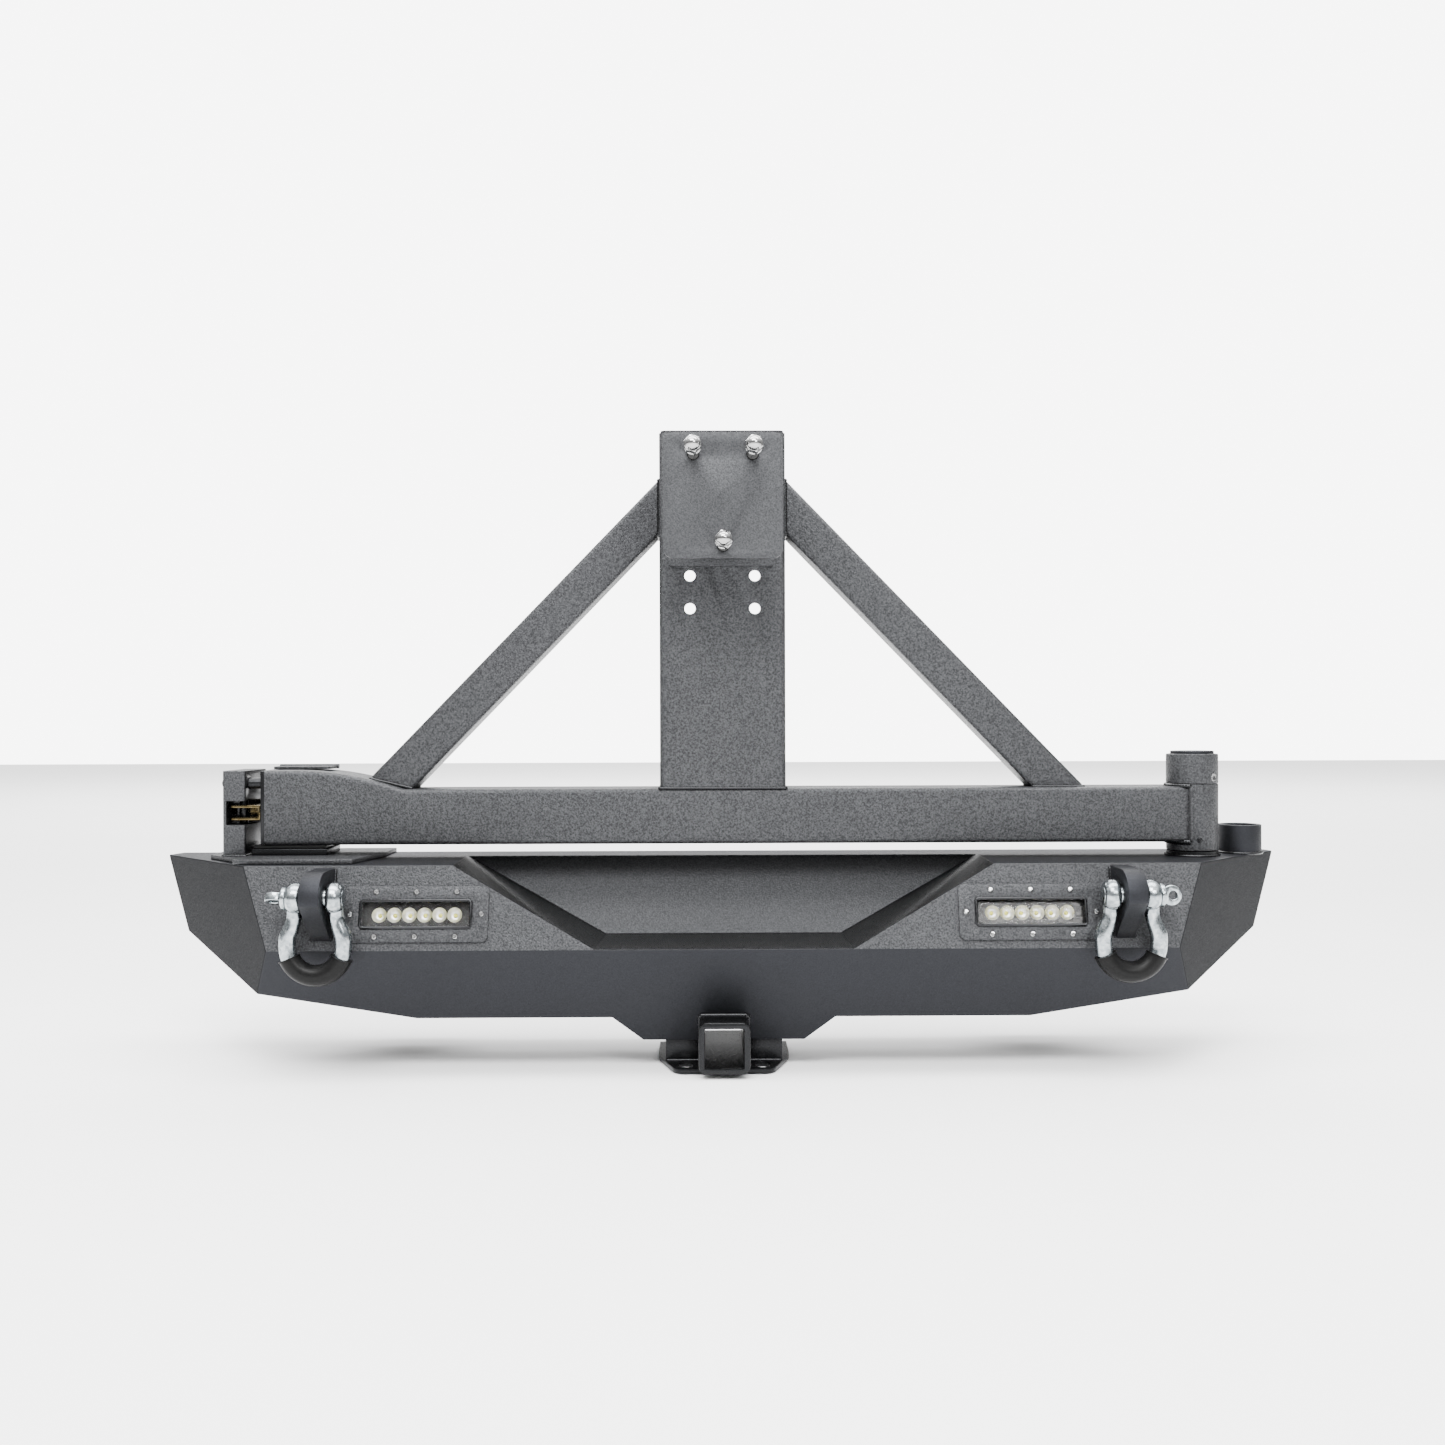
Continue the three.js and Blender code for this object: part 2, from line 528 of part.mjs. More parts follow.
const castleNut = () => {
  const body = rod(21, [PIVOT_X, PIVOT_Y, 207], [PIVOT_X, PIVOT_Y, 225], 6);
  const slots = [0, 60, 120].map((turn) => box(-30, 30, -2.5, 2.5, 218, 230)
    .rotateZ(turn * Math.PI / 180).translate(PIVOT_X, PIVOT_Y, 0));
  const bore = rod(13.3, [PIVOT_X, PIVOT_Y, 200], [PIVOT_X, PIVOT_Y, 240], 24);
  return cut(body, bore, ...slots);
};

const collarCap = () => turned([
  [29, SLEEVE_TOP_Z + GAP], [SLEEVE_RADIUS, SLEEVE_TOP_Z + GAP], [SLEEVE_RADIUS, COLLAR_TOP_Z - 2],
  [SLEEVE_RADIUS - 2, COLLAR_TOP_Z], [29, COLLAR_TOP_Z], [29, SLEEVE_TOP_Z + GAP],
], PIVOT_X, PIVOT_Y, 40);

const greaseCap = () => turned([
  [0, COLLAR_TOP_Z - 10], [28.6, COLLAR_TOP_Z - 10], [28.6, COLLAR_TOP_Z + 1.5],
  [26, COLLAR_TOP_Z + 4], [0, COLLAR_TOP_Z + 4],
], PIVOT_X, PIVOT_Y);

const stopSocket = () => turned([
  [0, FACE_TOP_Z + GAP], [SOCKET.r, FACE_TOP_Z + GAP], [SOCKET.r, SOCKET.top - 2],
  [SOCKET.r - 2, SOCKET.top], [SOCKET.bore, SOCKET.top], [SOCKET.bore, FACE_TOP_Z + 6],
  [0, FACE_TOP_Z + 6],
], SOCKET.x, SOCKET.y);

// Latch side on the bumper -------------------------------------------------------------------
const latchBasePlate = () => {
  const shape = shapeOf([
    [-694, 118], [-640, 62], [-640, 44], [-484, 44], [-464, 150], [-464, 216], [-694, 216],
  ]);
  return extrude(shape, LATCH_BASE_TOP_Z - FACE_TOP_Z - GAP).translate(0, 0, FACE_TOP_Z + GAP);
};

const latchPost = () => {
  const width = LATCH_X[1] - LATCH_X[0];
  const depth = LATCH_Y[1] - LATCH_Y[0];
  const low = LATCH_BASE_TOP_Z + GAP;
  const body = extrude(roundRectangle(width, depth, 3), LATCH_TOP_Z - low, 3)
    .translate((LATCH_X[0] + LATCH_X[1]) / 2, (LATCH_Y[0] + LATCH_Y[1]) / 2, low);
  const window = box(LATCH_X[0] + 5, LATCH_X[1] + 10, LATCH_Y[0] - 10, LATCH_Y[1] - 6, ...WINDOW_Z);
  const pinHole = rod(LOCK_PIN.r + 0.8, [LATCH_X[0] - 10, LOCK_PIN.y, LOCK_PIN.z],
    [LATCH_X[1] + 10, LOCK_PIN.y, LOCK_PIN.z], 20);
  return cut(body, window, pinHole);
};

const strikerPin = () => rod(STRIKER.r, [STRIKER.x, STRIKER.y, WINDOW_Z[0] + GAP],
  [STRIKER.x, STRIKER.y, WINDOW_Z[1] - GAP], 20);

const restBlock = () => box(-634, -533, ARM_FRONT_Y + 2, ARM_FRONT_Y + 72, LATCH_BASE_TOP_Z + GAP, 121);
const restPad = () => box(-632, -535, ARM_FRONT_Y + 4, ARM_FRONT_Y + 70, 121 + GAP, ARM_LOW_Z - GAP);

// Swing arm ----------------------------------------------------------------------------------
const armOutline = (inset) => {
  const low = ARM_LOW_Z + inset;
  const shape = new THREE.Shape();
  shape.moveTo(ARM_LEFT_X - inset * 3, low);
  shape.lineTo(PIVOT_X + SLEEVE_RADIUS, low);
  shape.lineTo(PIVOT_X + SLEEVE_RADIUS, ARM_TOP_Z - inset);
  shape.lineTo(-430, ARM_TOP_Z - inset);
  shape.bezierCurveTo(-480, 217 - inset, -520, ARM_END_TOP_Z - inset, -575, ARM_END_TOP_Z - inset);
  shape.lineTo(ARM_LEFT_X - inset * 3, ARM_END_TOP_Z - inset);
  shape.closePath();
  return shape;
};

const armTube = () => {
  const back = ARM_FRONT_Y + ARM_DEPTH;
  const body = alongY(armOutline(0), ARM_FRONT_Y, back);
  const hollow = alongY(armOutline(ARM_WALL), ARM_FRONT_Y + ARM_WALL, back - ARM_WALL);
  const cope = rod(SLEEVE_RADIUS + GAP, [PIVOT_X, PIVOT_Y, 0], [PIVOT_X, PIVOT_Y, 300], 40);
  const beyond = box(PIVOT_X - 22, PIVOT_X + 60, 0, 300, 0, 300);
  const pinHole = rod(LOCK_PIN.r + 0.8, [ARM_LEFT_X - 10, LOCK_PIN.y, LOCK_PIN.z],
    [ARM_LEFT_X + 10, LOCK_PIN.y, LOCK_PIN.z], 20);
  return cut(body, hollow, cope, beyond, pinHole);
};

const armEndPlate = () => {
  const x1 = ARM_LEFT_X - GAP;
  const plate = box(x1 - END_PLATE_THICK, x1, ARM_FRONT_Y + 2, ARM_FRONT_Y + ARM_DEPTH - 2,
    ARM_LOW_Z + 1, ARM_END_TOP_Z - 1);
  return cut(plate, rod(LOCK_PIN.r + 0.8, [x1 - 20, LOCK_PIN.y, LOCK_PIN.z], [x1 + 20, LOCK_PIN.y, LOCK_PIN.z], 20));
};

// Two cheeks with the hook between them, open on the side where the striker enters.
const latchHousing = () => {
  const right = ARM_LEFT_X - 2 * GAP - END_PLATE_THICK;
  const left = LATCH_X[0] + 9;
  const body = box(left, right, 102, 168, 160, 180);
  const pocket = box(left - 5, right - 3, 98, 175, 163.4, 176.6);
  const slot = box(STRIKER.x - 8, STRIKER.x + 8, STRIKER.y - 9, 175, 150, 190);
  const pivotHole = rod(5.3, [HOOK_PIVOT.x, HOOK_PIVOT.y, 150], [HOOK_PIVOT.x, HOOK_PIVOT.y, 190], 16);
  return cut(body, pocket, slot, pivotHole);
};

const hookPivotBolt = () => join(
  rod(5, [HOOK_PIVOT.x, HOOK_PIVOT.y, 157.5], [HOOK_PIVOT.x, HOOK_PIVOT.y, 182], 16),
  rod(8.5, [HOOK_PIVOT.x, HOOK_PIVOT.y, 180 + GAP], [HOOK_PIVOT.x, HOOK_PIVOT.y, 185], 6));

const latchHook = () => {
  const shape = shapeOf([
    [-626.5, 144], [-626.5, 152], [-633, 155.2], [-640, 156], [-659, 149], [-659, 137],
    [-651, 136], [-640, 139], [-633, 140.8],
  ]);
  const body = extrude(shape, 12).translate(0, 0, 164);
  return cut(body, rod(5.35, [HOOK_PIVOT.x, HOOK_PIVOT.y, 150], [HOOK_PIVOT.x, HOOK_PIVOT.y, 190], 16));
};

const releaseLever = () => join(
  box(-610, -533, 124, 160, ARM_END_TOP_Z + 0.8, ARM_END_TOP_Z + 4.3),
  rod(3.2, [-612, 160, ARM_END_TOP_Z + 3.6], [-531, 160, ARM_END_TOP_Z + 3.6], 12));

// A plain pin with a collar over its hole and a small button to pull it by.
const lockPin = () => {
  const at = (x) => [x, LOCK_PIN.y, LOCK_PIN.z];
  return join(
    rod(LOCK_PIN.r, at(-671), at(-608), 20),
    rod(10.5, at(-672.5), at(LATCH_X[0] - GAP), 20),
    rod(4.5, at(-677), at(-672), 16));
};

// The upright is a folded channel, open at the back, so its bolts can be reached.
const postChannel = () => {
  const body = tube(2 * POST_X, ARM_DEPTH - 1, POST_WALL, POST_TOP_Z - ARM_TOP_Z - GAP)
    .translate(0, ARM_FRONT_Y + (ARM_DEPTH - 1) / 2, ARM_TOP_Z + GAP);
  const inside = POST_X - POST_WALL;
  const open = box(-inside, inside, ARM_FRONT_Y + 40, ARM_FRONT_Y + ARM_DEPTH + 10, 0, POST_TOP_Z + 20);
  const holes = [];
  for (let row = 0; row < HOLE_ROWS; row += 1) {
    [-HOLE_X, HOLE_X].forEach((x) => {
      const z = HOLE_LOW_Z + row * HOLE_PITCH;
      holes.push(rod(HOLE_RADIUS, [x, ARM_FRONT_Y - 10, z], [x, ARM_FRONT_Y + 20, z], 16));
    });
  }
  return cut(body, open, ...holes);
};

const postCap = () => extrude(roundRectangle(2 * POST_X - 4, ARM_DEPTH - 5, 7), 3, 4)
  .translate(0, ARM_FRONT_Y + (ARM_DEPTH - 1) / 2, POST_TOP_Z + GAP);

const brace = (side) => {
  const head = vec(side * POST_X, 0, BRACE_HEAD_Z);
  const foot = vec(side * BRACE_FOOT_X, 0, ARM_TOP_Z);
  const along = foot.clone().sub(head).normalize();
  const outward = vec(-side * along.z, 0, side * along.x);
  const middle = ARM_FRONT_Y + ARM_DEPTH / 2;
  const start = head.clone().addScaledVector(along, -90).addScaledVector(outward, -BRACE / 2);
  const place = new THREE.Matrix4().makeBasis(outward, along.clone().cross(outward), along)
    .setPosition(start.x, middle, start.z);
  let body = tube(BRACE, BRACE, BRACE_WALL, head.distanceTo(foot) + 180, 6).applyMatrix4(place);
  body = trim(body, vec(side * (POST_X + GAP), 0, 0), vec(-side, 0, 0));
  body = trim(body, vec(0, 0, ARM_TOP_Z + GAP), vec(0, 0, -1));
  // The left foot also clears the rising top of the arm's latch end.
  return side < 0 ? cut(body, alongY(armOutline(-GAP), 0, 300)) : body;
};

// Wheel mount --------------------------------------------------------------------------------
const basePlate = () => {
  const { x, low, high, thick } = BASE_PLATE;
  const shape = roundRectangle(2 * x, high - low, 4);
  const middle = (low + high) / 2;
  [1.0, 3.0].forEach((rowsUp) => [-HOLE_X, HOLE_X].forEach((hx) => {
    const z = HOLE_LOW_Z + (rowsUp + 1) * HOLE_PITCH - middle;
    shape.holes.push(circleHole(hx, z, HOLE_RADIUS));
  }));
  return extrude(shape, thick, 5).rotateX(Math.PI / 2).translate(0, ARM_FRONT_Y - GAP, middle);
};

const BASE_FRONT_Y = ARM_FRONT_Y - GAP - BASE_PLATE.thick;
const standoffTube = () => {
  const length = BASE_FRONT_Y - GAP - (STUD_PLATE.front + STUD_PLATE.thick + GAP);
  return tube(STANDOFF, STANDOFF, 5, length, 8).rotateX(Math.PI / 2)
    .translate(0, BASE_FRONT_Y - GAP, STANDOFF_Z);
};

const STUD_ANGLES = [90 + 36, 90 - 36, 270].map((degrees) => degrees * Math.PI / 180);
const studSpot = (angle) => [CIRCLE_RADIUS * Math.cos(angle), CIRCLE_Z + CIRCLE_RADIUS * Math.sin(angle)];

const studPlate = () => {
  const { x, low, high, front, thick } = STUD_PLATE;
  const middle = (low + high) / 2;
  const shape = roundRectangle(2 * x, high - low, 12);
  STUD_ANGLES.map(studSpot).forEach(([sx, sz]) => shape.holes.push(
    circleHole(sx, sz - middle, STUD_RADIUS + 1)));
  return extrude(shape, thick, 8).rotateX(Math.PI / 2).translate(0, front + thick, middle);
};

const lugStud = ([x, z]) => join(
  rod(STUD_RADIUS, [x, STUD_PLATE.front + STUD_PLATE.thick + 2, z], [x, STUD_PLATE.front - STUD_LENGTH, z], 16),
  rod(9.5, [x, STUD_PLATE.front + STUD_PLATE.thick + GAP, z], [x, STUD_PLATE.front + STUD_PLATE.thick + 5, z], 20));

// An acorn nut: hexagon, round skirt and closed dome, bored from behind.
const lugNut = ([x, z]) => {
  const back = STUD_PLATE.front - 42;
  const hex = rod(NUT_FLATS / Math.sqrt(3), [x, back - 6, z], [x, back - 27, z], 6);
  const skirt = rod(8.5, [x, back, z], [x, back - 7, z], 20, 10);
  const dome = rod(9.6, [x, back - 26, z], [x, back - 35, z], 20, 5);
  const bore = rod(STUD_RADIUS + GAP, [x, back + 2, z], [x, back - 23, z], 16);
  return cut(join(hex, skirt, dome), bore);
};

// Materials ----------------------------------------------------------------------------------
const material = (color, roughness, metalness) => new THREE.MeshStandardMaterial({ color, roughness, metalness });
const COATED = () => material(0x4a4b4d, 0.8, 0.1); // textured black powder coat
const SATIN = () => material(0x252628, 0.45, 0.2);
const RUBBER = () => material(0x151515, 0.6, 0);
const ZINC = () => material(0xb8b8b6, 0.4, 0.9); // galvanised
const YELLOW = () => material(0xc9a45a, 0.35, 0.9); // yellow zinc
const CHROME = () => material(0xd8d8d8, 0.1, 1);
const STEEL = () => material(0x9a9a98, 0.35, 0.9);
const GLASS = () => material(0xf4f4f2, 0.05, 0);

// Assembly -----------------------------------------------------------------------------------
const bumper = new THREE.Group();
const swingArm = new THREE.Group();
const put = (group, name, geometry, finish) => {
  const mesh = new THREE.Mesh(geometry, finish);
  mesh.name = name;
  group.add(mesh);
};

put(bumper, 'lower_face', lowerFace(), COATED());
put(bumper, 'recess_tub', recessTub(), SATIN());
put(bumper, 'top_plate', topPlate(), COATED());
put(bumper, 'crossmember', crossmember(), SATIN());
put(bumper, 'receiver_tube', receiverTube(), SATIN());
put(bumper, 'chain_plate', chainPlate(), SATIN());
[[-1, 'left'], [1, 'right']].forEach(([side, name]) => {
  put(bumper, `upper_face_${name}`, upperFace(side), COATED());
  put(bumper, `wing_${name}`, wingFace(side), COATED());
  put(bumper, `frame_plate_${name}`, framePlate(side), SATIN());
  put(bumper, `shackle_tab_${name}`, shackleTab(side), SATIN());
  put(bumper, `shackle_bow_${name}`, shackleBow(side), ZINC());
  put(bumper, `shackle_pin_${name}`, shacklePin(side), ZINC());
  put(bumper, `shackle_isolator_${name}`, shackleIsolator(side), RUBBER());
  put(bumper, `light_bezel_${name}`, lightBezel(side), COATED());
  put(bumper, `light_housing_${name}`, lightHousing(side), SATIN());
  put(bumper, `light_lens_${name}`, lightLens(side), GLASS());
  put(swingArm, `brace_${name}`, brace(side), COATED());
});
put(bumper, 'spindle', spindle(), STEEL());
put(bumper, 'lower_bearing', bearing(SLEEVE_LOW_Z + 1.4), STEEL());
put(bumper, 'upper_bearing', bearing(SLEEVE_TOP_Z - BEARING_HEIGHT - 1.4), STEEL());
put(bumper, 'castle_nut', castleNut(), STEEL());
put(bumper, 'latch_base_plate', latchBasePlate(), COATED());
put(bumper, 'latch_post', latchPost(), COATED());
put(bumper, 'striker_pin', strikerPin(), YELLOW());
put(bumper, 'rest_block', restBlock(), SATIN());
put(bumper, 'rest_pad', restPad(), RUBBER());
put(bumper, 'stop_socket', stopSocket(), SATIN());
put(bumper, 'lock_pin', lockPin(), STEEL());

put(swingArm, 'arm_tube', armTube(), COATED());
put(swingArm, 'arm_end_plate', armEndPlate(), SATIN());
put(swingArm, 'pivot_sleeve', sleeve(), COATED());
put(swingArm, 'collar_cap', collarCap(), COATED());
put(swingArm, 'grease_cap', greaseCap(), COATED());
put(swingArm, 'post_channel', postChannel(), COATED());
put(swingArm, 'post_cap', postCap(), COATED());
put(swingArm, 'base_plate', basePlate(), COATED());
put(swingArm, 'standoff_tube', standoffTube(), SATIN());
put(swingArm, 'stud_plate', studPlate(), COATED());
STUD_ANGLES.map(studSpot).forEach((spot, index) => {
  put(swingArm, `lug_stud_${index + 1}`, lugStud(spot), STEEL());
  put(swingArm, `lug_nut_${index + 1}`, lugNut(spot), CHROME());
});
put(swingArm, 'latch_housing', latchHousing(), YELLOW());
put(swingArm, 'hook_pivot_bolt', hookPivotBolt(), YELLOW());
put(swingArm, 'latch_hook', latchHook(), YELLOW());
put(swingArm, 'release_lever', releaseLever(), COATED());

const carrier = new THREE.Group();
carrier.add(bumper, swingArm);
carrier.position.set(0, -FRAME_PLATE_BACK_Y, -FRAME_PLATE.z);

export default carrier;
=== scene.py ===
# Looks of the rear bumper with its swing-out spare tire carrier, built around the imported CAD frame.
# Everything is in metres: X to the right, Y forward to the vehicle, Z up.
import json
import math

import bmesh
import bpy
from mathutils import Matrix, Vector


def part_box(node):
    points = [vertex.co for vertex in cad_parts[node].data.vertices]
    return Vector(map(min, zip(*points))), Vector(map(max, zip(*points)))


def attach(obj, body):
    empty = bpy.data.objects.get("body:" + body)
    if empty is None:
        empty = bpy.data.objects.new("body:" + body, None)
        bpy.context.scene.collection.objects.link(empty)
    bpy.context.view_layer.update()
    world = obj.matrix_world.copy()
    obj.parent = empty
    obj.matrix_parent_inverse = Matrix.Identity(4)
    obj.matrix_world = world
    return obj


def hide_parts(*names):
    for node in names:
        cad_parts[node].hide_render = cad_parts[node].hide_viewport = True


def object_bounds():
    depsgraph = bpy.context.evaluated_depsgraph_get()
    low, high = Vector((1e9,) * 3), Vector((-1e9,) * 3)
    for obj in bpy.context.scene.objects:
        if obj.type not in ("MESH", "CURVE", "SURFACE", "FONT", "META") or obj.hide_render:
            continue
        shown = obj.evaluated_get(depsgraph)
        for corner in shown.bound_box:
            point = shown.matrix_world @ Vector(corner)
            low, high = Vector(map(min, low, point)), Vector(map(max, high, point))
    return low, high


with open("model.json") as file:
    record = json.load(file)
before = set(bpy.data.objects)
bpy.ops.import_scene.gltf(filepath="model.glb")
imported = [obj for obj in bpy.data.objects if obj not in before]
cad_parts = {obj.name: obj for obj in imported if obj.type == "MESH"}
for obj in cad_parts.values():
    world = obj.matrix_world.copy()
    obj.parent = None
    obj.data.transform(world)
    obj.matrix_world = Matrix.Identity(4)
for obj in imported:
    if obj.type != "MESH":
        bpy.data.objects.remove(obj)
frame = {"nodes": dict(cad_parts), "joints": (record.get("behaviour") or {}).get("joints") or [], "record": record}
CAD_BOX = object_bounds()
RECORD = frame["record"]
BODY_OF = {n: body for body, nodes in RECORD["behaviour"]["bodies"].items() for n in nodes}
MM = 0.001
SIDES = {"left": -1, "right": 1}
UP = Vector((0, 0, 1))
OUT = Vector((0, -1, 0))
# How strongly a search for a corner keeps to a node's outer face.
OUTER_FACE_WEIGHT = 10


# Places read from the frame -------------------------------------------------------------------
def low(node):
    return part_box(node)[0]


def high(node):
    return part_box(node)[1]


def middle(node):
    return (low(node) + high(node)) / 2


def points(node):
    return [v.co.copy() for v in frame["nodes"][node].data.vertices]


def face_normal(node, guess):
    """The normal of the node's largest triangle that looks the way of the guess."""
    polygons = frame["nodes"][node].data.polygons
    facing = [p for p in polygons if p.normal.dot(guess) > 0.5]
    return max(facing, key=lambda p: p.area).normal.copy()


def corner(node, normal, way):
    """The corner of the node's outer face that lies furthest along a direction in that face."""
    aim = normal * OUTER_FACE_WEIGHT + Vector(way)
    return max(points(node), key=lambda p: p.dot(aim))


# Mesh helpers ---------------------------------------------------------------------------------
def finish_mesh(name, bm, material, body, smooth=32, recalc=True):
    if recalc:
        bmesh.ops.recalc_face_normals(bm, faces=bm.faces)
    mesh = bpy.data.meshes.new(name)
    bm.to_mesh(mesh)
    bm.free()
    mesh.shade_smooth()
    mesh.set_sharp_from_angle(angle=math.radians(smooth))
    for one in material if isinstance(material, list) else [material]:
        mesh.materials.append(one)
    obj = bpy.data.objects.new(name, mesh)
    bpy.context.scene.collection.objects.link(obj)
    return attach(obj, body)


def frames_along(path):
    """A place and two cross directions at each point of a path, without twist."""
    tangents = []
    for i in range(len(path)):
        ahead = path[min(i + 1, len(path) - 1)]
        behind = path[max(i - 1, 0)]
        tangents.append((ahead - behind).normalized())
    side = tangents[0].orthogonal().normalized()
    found = []
    for p, t in zip(path, tangents):
        side = (side - t * side.dot(t)).normalized()
        found.append((p, side.copy(), t.cross(side)))
    return found


def sweep(bm, path, radii, sides=16, squash=1.0, closed=False):
    """A round bar along a path, with a radius for each of its points."""
    path = [Vector(p) for p in path]
    rings = []
    for (place, u, v), radius in zip(frames_along(path), radii):
        ring = []
        for k in range(sides):
            turn = 2 * math.pi * k / sides
            ring.append(bm.verts.new(
                place + u * (radius * math.cos(turn)) + v * (radius * squash * math.sin(turn))))
        rings.append(ring)
    pairs = list(zip(rings, rings[1:]))
    if closed:
        pairs.append((rings[-1], rings[0]))
    for a, b in pairs:
        for k in range(sides):
            bm.faces.new((a[k], a[(k + 1) % sides], b[(k + 1) % sides], b[k]))
    if not closed:
        bm.faces.new(rings[0][::-1])
        bm.faces.new(rings[-1])


def lathe(bm, profile, origin, axis, sides=64):
    """Turns a profile of (radius, height) pairs about an axis."""
    axis = Vector(axis).normalized()
    u = axis.orthogonal().normalized()
    v = axis.cross(u)
    origin = Vector(origin)
    rings = []
    for radius, height in profile:
        if radius < 1e-6:
            rings.append([bm.verts.new(origin + axis * height)])
            continue
        ring = []
        for k in range(sides):
            turn = 2 * math.pi * k / sides
            ring.append(bm.verts.new(
                origin + axis * height + u * (radius * math.cos(turn)) + v * (radius * math.sin(turn))))
        rings.append(ring)
    for a, b in zip(rings, rings[1:]):
        for k in range(sides):
            n = (k + 1) % sides
            if len(a) == 1 and len(b) == 1:
                continue
            if len(a) == 1:
                bm.faces.new((a[0], b[n], b[k]))
            elif len(b) == 1:
                bm.faces.new((a[k], a[n], b[0]))
            else:
                bm.faces.new((a[k], a[n], b[n], b[k]))


def rounded(profile, radius, steps=3):
    """Rounds the corners of a lathe profile, apart from its two ends."""
    done = [profile[0]]
    for before, at, after in zip(profile, profile[1:], profile[2:]):
        a, b, c = Vector(before), Vector(at), Vector(after)
        r = min(radius, (a - b).length * 0.45, (c - b).length * 0.45)
        start = b + (a - b).normalized() * r
        end = b + (c - b).normalized() * r
        for i in range(steps + 1):
            t = i / steps
            done.append(tuple(start * (1 - t) ** 2 + b * 2 * t * (1 - t) + end * t ** 2))
    done.append(profile[-1])
    return done


def prism(bm, outline, depth):
    """Extrudes a flat outline of points by a vector."""
    front = [bm.verts.new(p) for p in outline]
    back = [bm.verts.new(Vector(p) + depth) for p in outline]
    bm.faces.new(front)
    bm.faces.new(back[::-1])
    count = len(outline)
    for k in range(count):
        bm.faces.new((front[k], back[k], back[(k + 1) % count], front[(k + 1) % count]))


def scaled(pairs):
    """Turns pairs in millimetres into pairs in metres."""
    return [(a * MM, b * MM) for a, b in pairs]


def bevel_edges(bm, edges, width, segments=3):
    bmesh.ops.bevel(bm, geom=list(edges), offset=width, offset_type="OFFSET", segments=segments,
                    profile=0.5, affect="EDGES", clamp_overlap=True)


def sharp_edges(bm, angle):
    bm.normal_update()
    return [e for e in bm.edges if len(e.link_faces) == 2 and e.calc_face_angle(0) > math.radians(angle)]


def refined(node, material, width=0.8 * MM, angle=30, segments=2, smooth=32):
    """A CAD node's shape with its flat faces merged and its sharp edges rounded."""
    bm = bmesh.new()
    bm.from_mesh(frame["nodes"][node].data)
    bmesh.ops.remove_doubles(bm, verts=bm.verts, dist=0.02 * MM)
    bmesh.ops.dissolve_limit(bm, angle_limit=math.radians(0.6), verts=bm.verts, edges=bm.edges)
    if width:
        bevel_edges(bm, sharp_edges(bm, angle), width, segments)
    piece = finish_mesh(node + "_skin", bm, material, BODY_OF[node], smooth, recalc=False)
    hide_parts(node)
    return piece


# Materials ------------------------------------------------------------------------------------
def new_material(name):
    material = bpy.data.materials.new(name)
    material.use_nodes = True
    tree = material.node_tree
    shader = tree.nodes["Principled BSDF"]
    place = tree.nodes.new("ShaderNodeTexCoord").outputs["Object"]
    return material, tree, shader, place


def noise(tree, place, size, detail=3.0, roughness=0.55):
    """Noise whose grains are about size metres across."""
    node = tree.nodes.new("ShaderNodeTexNoise")
    node.inputs["Scale"].default_value = 1 / size
    node.inputs["Detail"].default_value = detail
    node.inputs["Roughness"].default_value = roughness
    tree.links.new(place, node.inputs["Vector"])
    return node.outputs["Fac"]


def ramp(tree, factor, stops):
    node = tree.nodes.new("ShaderNodeValToRGB")
    elements = node.color_ramp.elements
    while len(elements) < len(stops):
        elements.new(0.5)
    for element, (position, value) in zip(elements, stops):
        element.position = position
        color = value if isinstance(value, tuple) else (value, value, value)
        element.color = (*color, 1)
    tree.links.new(factor, node.inputs["Fac"])
    return node.outputs["Color"]


# Places of a Mix node's sockets, whose names repeat for each type of data.
MIX_FACTOR = 0
MIX_NUMBER_A = 2
MIX_NUMBER_B = 3
MIX_NUMBER_OUT = 0
MIX_COLOR_A = 6
MIX_COLOR_B = 7
MIX_COLOR_OUT = 2


def mix_colors(tree, factor, a, b, mode="MIX"):
    node = tree.nodes.new("ShaderNodeMix")
    node.data_type = "RGBA"
    node.blend_type = mode
    node.inputs[MIX_FACTOR].default_value = factor
    tree.links.new(a, node.inputs[MIX_COLOR_A])
    tree.links.new(b, node.inputs[MIX_COLOR_B])
    return node.outputs[MIX_COLOR_OUT]


def bump(tree, shader, height, strength, distance):
    node = tree.nodes.new("ShaderNodeBump")
    node.inputs["Strength"].default_value = strength
    node.inputs["Distance"].default_value = distance
    tree.links.new(height, node.inputs["Height"])
    tree.links.new(node.outputs["Normal"], shader.inputs["Normal"])


def coat_material(name, dark, light, tint, grain, relief, roughness, gloss=0.3):
    """Black powder coat: a cured wrinkle of small grains over a slow drift in tone. Its colour follows the grain's
    bumps: raised grains are painted lighter and hollows darker, as painted highlight and painted shade.
    """
    material, tree, shader, place = new_material(name)
    shader.inputs["Specular Tint"].default_value = (*(t / max(tint) for t in tint), 1)
    fine = noise(tree, place, grain, 2.5, 0.65)
    # Lighter tones where the bump raises the grain and darker ones in its hollows: painted highlight on grain
    # tops, painted shade in the hollows.
    tones = ((0.36, dark), (0.5, (dark + light) / 2), (0.66, light))
    painted_grain_light_and_shade = ramp(tree, fine, [(position, tuple(tone * t for t in tint)) for position, tone in tones])
    slow = ramp(tree, noise(tree, place, 0.12, 3.0), [(0.3, 0.86), (0.7, 1.0)])
    color = mix_colors(tree, 1.0, painted_grain_light_and_shade, slow, "MULTIPLY")
    tree.links.new(color, shader.inputs["Base Color"])
    rough = ramp(tree, fine, [(0.35, roughness + 0.1), (0.7, roughness - 0.08)])
    tree.links.new(rough, shader.inputs["Roughness"])
    shader.inputs["Specular IOR Level"].default_value = gloss
    bump(tree, shader, fine, relief, 0.5 * grain)
    return material


